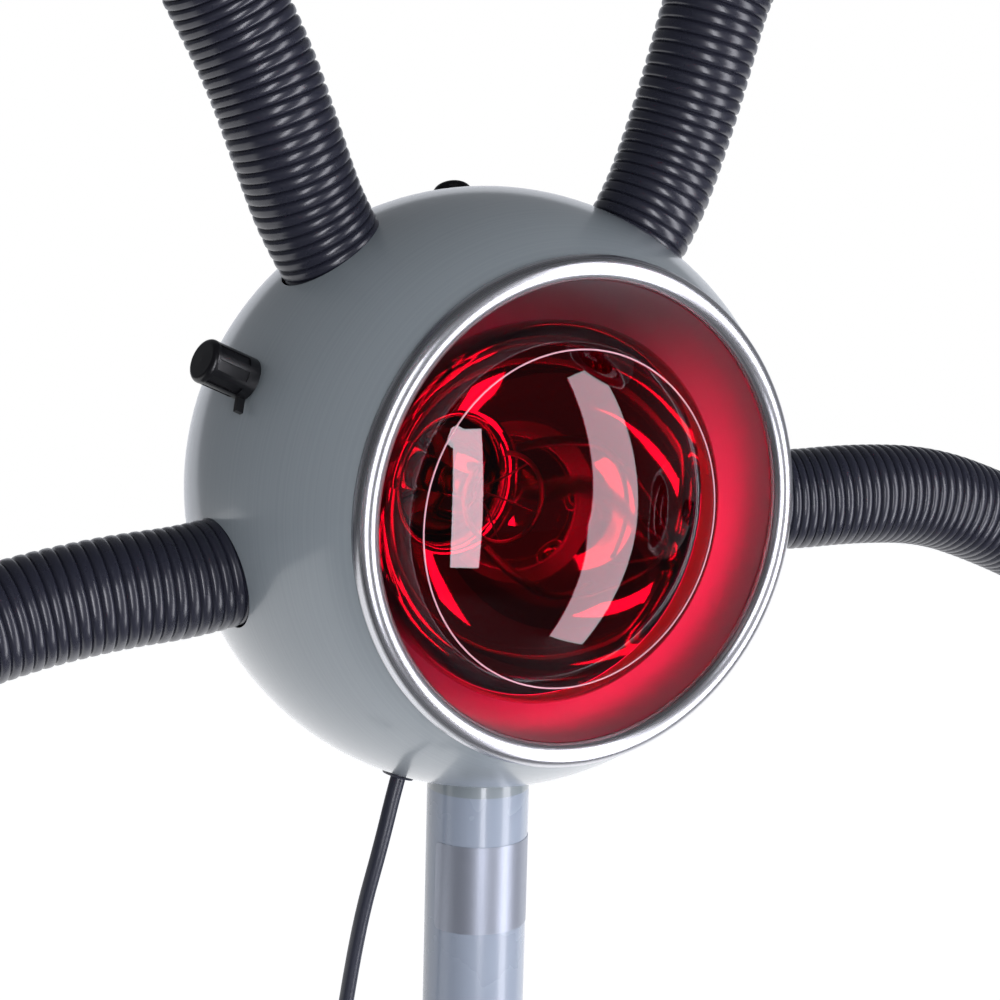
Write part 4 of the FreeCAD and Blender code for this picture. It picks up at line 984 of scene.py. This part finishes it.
def floor_paint():
    """Matt white paint. A white sheet of light lies over it for the eye, thin enough that shadows
    still show, and for what metal and glass mirror of the floor behind the object."""
    material = grained("matt_white_paint", "#e6e6e8", 0.9, 20, 0.02)
    tree = material.node_tree
    path = add(tree, "ShaderNodeLightPath")
    place = add(tree, "ShaderNodeTexCoord")
    split = add(tree, "ShaderNodeSeparateXYZ", links={"Vector": (place, "Object")})
    behind = add(tree, "ShaderNodeMapRange", {"From Min": -0.4, "From Max": 0.3, "To Max": 0.9},
                 {"Value": (split, "Y")}, interpolation_type="SMOOTHSTEP")
    shiny = add(tree, "ShaderNodeMath", operation="MAXIMUM",
                links={0: (path, "Is Glossy Ray"), 1: (path, "Is Transmission Ray")})
    mirrored = add(tree, "ShaderNodeMath", links={0: (shiny, "Value"), 1: (behind, "Result")},
                   operation="MULTIPLY")
    strength = add(tree, "ShaderNodeMath", {1: 0.8}, {0: (path, "Is Camera Ray"), 2: (mirrored, "Value")},
                   operation="MULTIPLY_ADD")
    sheet = add(tree, "ShaderNodeEmission", links={"Strength": (strength, "Value")})
    # what mirrors show of the floor in front of the object is the unlit part of the room
    front = add(tree, "ShaderNodeMapRange", {"From Max": 0.9, "To Min": 0.85, "To Max": 0.0},
                {"Value": (behind, "Result")})
    unlit = add(tree, "ShaderNodeMath", links={0: (path, "Is Glossy Ray"), 1: (front, "Result")},
                operation="MULTIPLY")
    dark = add(tree, "ShaderNodeEmission", {"Strength": 0.0})
    paint = add(tree, "ShaderNodeMixShader", links={0: (unlit, "Value"),
                                                    1: (tree.nodes["Principled BSDF"], "BSDF"),
                                                    2: (dark, "Emission")})
    both = add(tree, "ShaderNodeAddShader", links={0: (paint, "Shader"), 1: (sheet, "Emission")})
    tree.links.new(both.outputs["Shader"], tree.nodes["Material Output"].inputs["Surface"])
    return material


floor = new_object("studio_floor", floor_mesh, floor_paint())

world = bpy.data.worlds.new("studio")
bpy.context.scene.world = world
world.use_nodes = True
sky = world.node_tree
sky.nodes.clear()
way = add(sky, "ShaderNodeTexCoord")
split = add(sky, "ShaderNodeSeparateXYZ", links={"Vector": (way, "Generated")})
shade = add(sky, "ShaderNodeMapRange", {"From Min": -0.35, "From Max": 0.35, "To Min": 0.5, "To Max": 0.7},
            {"Value": (split, "Y")}, interpolation_type="SMOOTHSTEP")
# what mirrors and glass show: the lit backdrop has an edge, and the room in front of it is dark
behind = add(sky, "ShaderNodeVectorMath", {1: (0.47, 0.81, -0.35)}, {0: (way, "Generated")},
             operation="DOT_PRODUCT")
room = add(sky, "ShaderNodeMapRange", {"From Min": -0.3, "From Max": 0.7, "To Min": 0.05, "To Max": 0.22},
           {"Value": (behind, "Value")}, interpolation_type="SMOOTHSTEP")
backdrop = add(sky, "ShaderNodeMapRange", {"From Min": 0.7, "From Max": 0.74, "To Max": 0.65},
               {"Value": (behind, "Value")})
path = add(sky, "ShaderNodeLightPath")
# the silvering inside the bulbs gathers more of the room than the skin of the glass mirrors
gathered = add(sky, "ShaderNodeMath", {1: 1.0, 2: 1.0}, {0: (path, "Is Transmission Ray")},
               operation="MULTIPLY_ADD")
mirrored = add(sky, "ShaderNodeMath", links={0: (room, "Result"), 1: (gathered, "Value"),
                                             2: (backdrop, "Result")}, operation="MULTIPLY_ADD")
# less light comes from above than from the sides
above = add(sky, "ShaderNodeMapRange", {"From Max": 0.9, "To Min": 1.0, "To Max": 0.3},
            {"Value": (split, "Z")})
soft = add(sky, "ShaderNodeMath", links={0: (shade, "Result"), 1: (above, "Result")}, operation="MULTIPLY")
shiny = add(sky, "ShaderNodeMath", links={0: (path, "Is Glossy Ray"), 1: (path, "Is Transmission Ray")},
            operation="MAXIMUM")
lit = add(sky, "ShaderNodeMix", links={0: (shiny, "Value"), 2: (soft, "Value"), 3: (mirrored, "Value")})
plain = add(sky, "ShaderNodeBackground", {"Color": linear("#ffffff")})
studio = add(sky, "ShaderNodeBackground", {"Color": linear("#f4f7ff")}, {"Strength": (lit, 0)})
mix = add(sky, "ShaderNodeMixShader", links={0: (path, "Is Camera Ray"), 1: (studio, "Background"),
                                             2: (plain, "Background")})
add(sky, "ShaderNodeOutputWorld", links={"Surface": (mix, "Shader")})


def soft_box(name, azimuth, elevation, distance, width, height, watts):
    """Rectangular lamp that faces the middle lamp. Azimuth is from the front towards +X."""
    azimuth, elevation = math.radians(azimuth), math.radians(elevation)
    way = Vector((math.sin(azimuth) * math.cos(elevation), -math.cos(azimuth) * math.cos(elevation),
                  math.sin(elevation)))
    data = bpy.data.lights.new(name, "AREA")
    data.shape = "RECTANGLE"
    data.size, data.size_y, data.energy = width, height, watts
    data.color = (0.93, 0.93, 1.0)   # a cool white, near the sky's
    box = link(bpy.data.objects.new(name, data))
    box.matrix_world = (Matrix.Translation(HEAD + way * distance)
                        @ way.to_track_quat("Z", "Y").to_matrix().to_4x4())
    print(f"{name}: {width} x {height} m, {watts} W")


soft_box("tall_soft_box", azimuth=38, elevation=-6, distance=1.3, width=0.42, height=2.4, watts=20)
soft_box("small_soft_box", azimuth=-17, elevation=0, distance=1.9, width=0.36, height=1.7, watts=21)
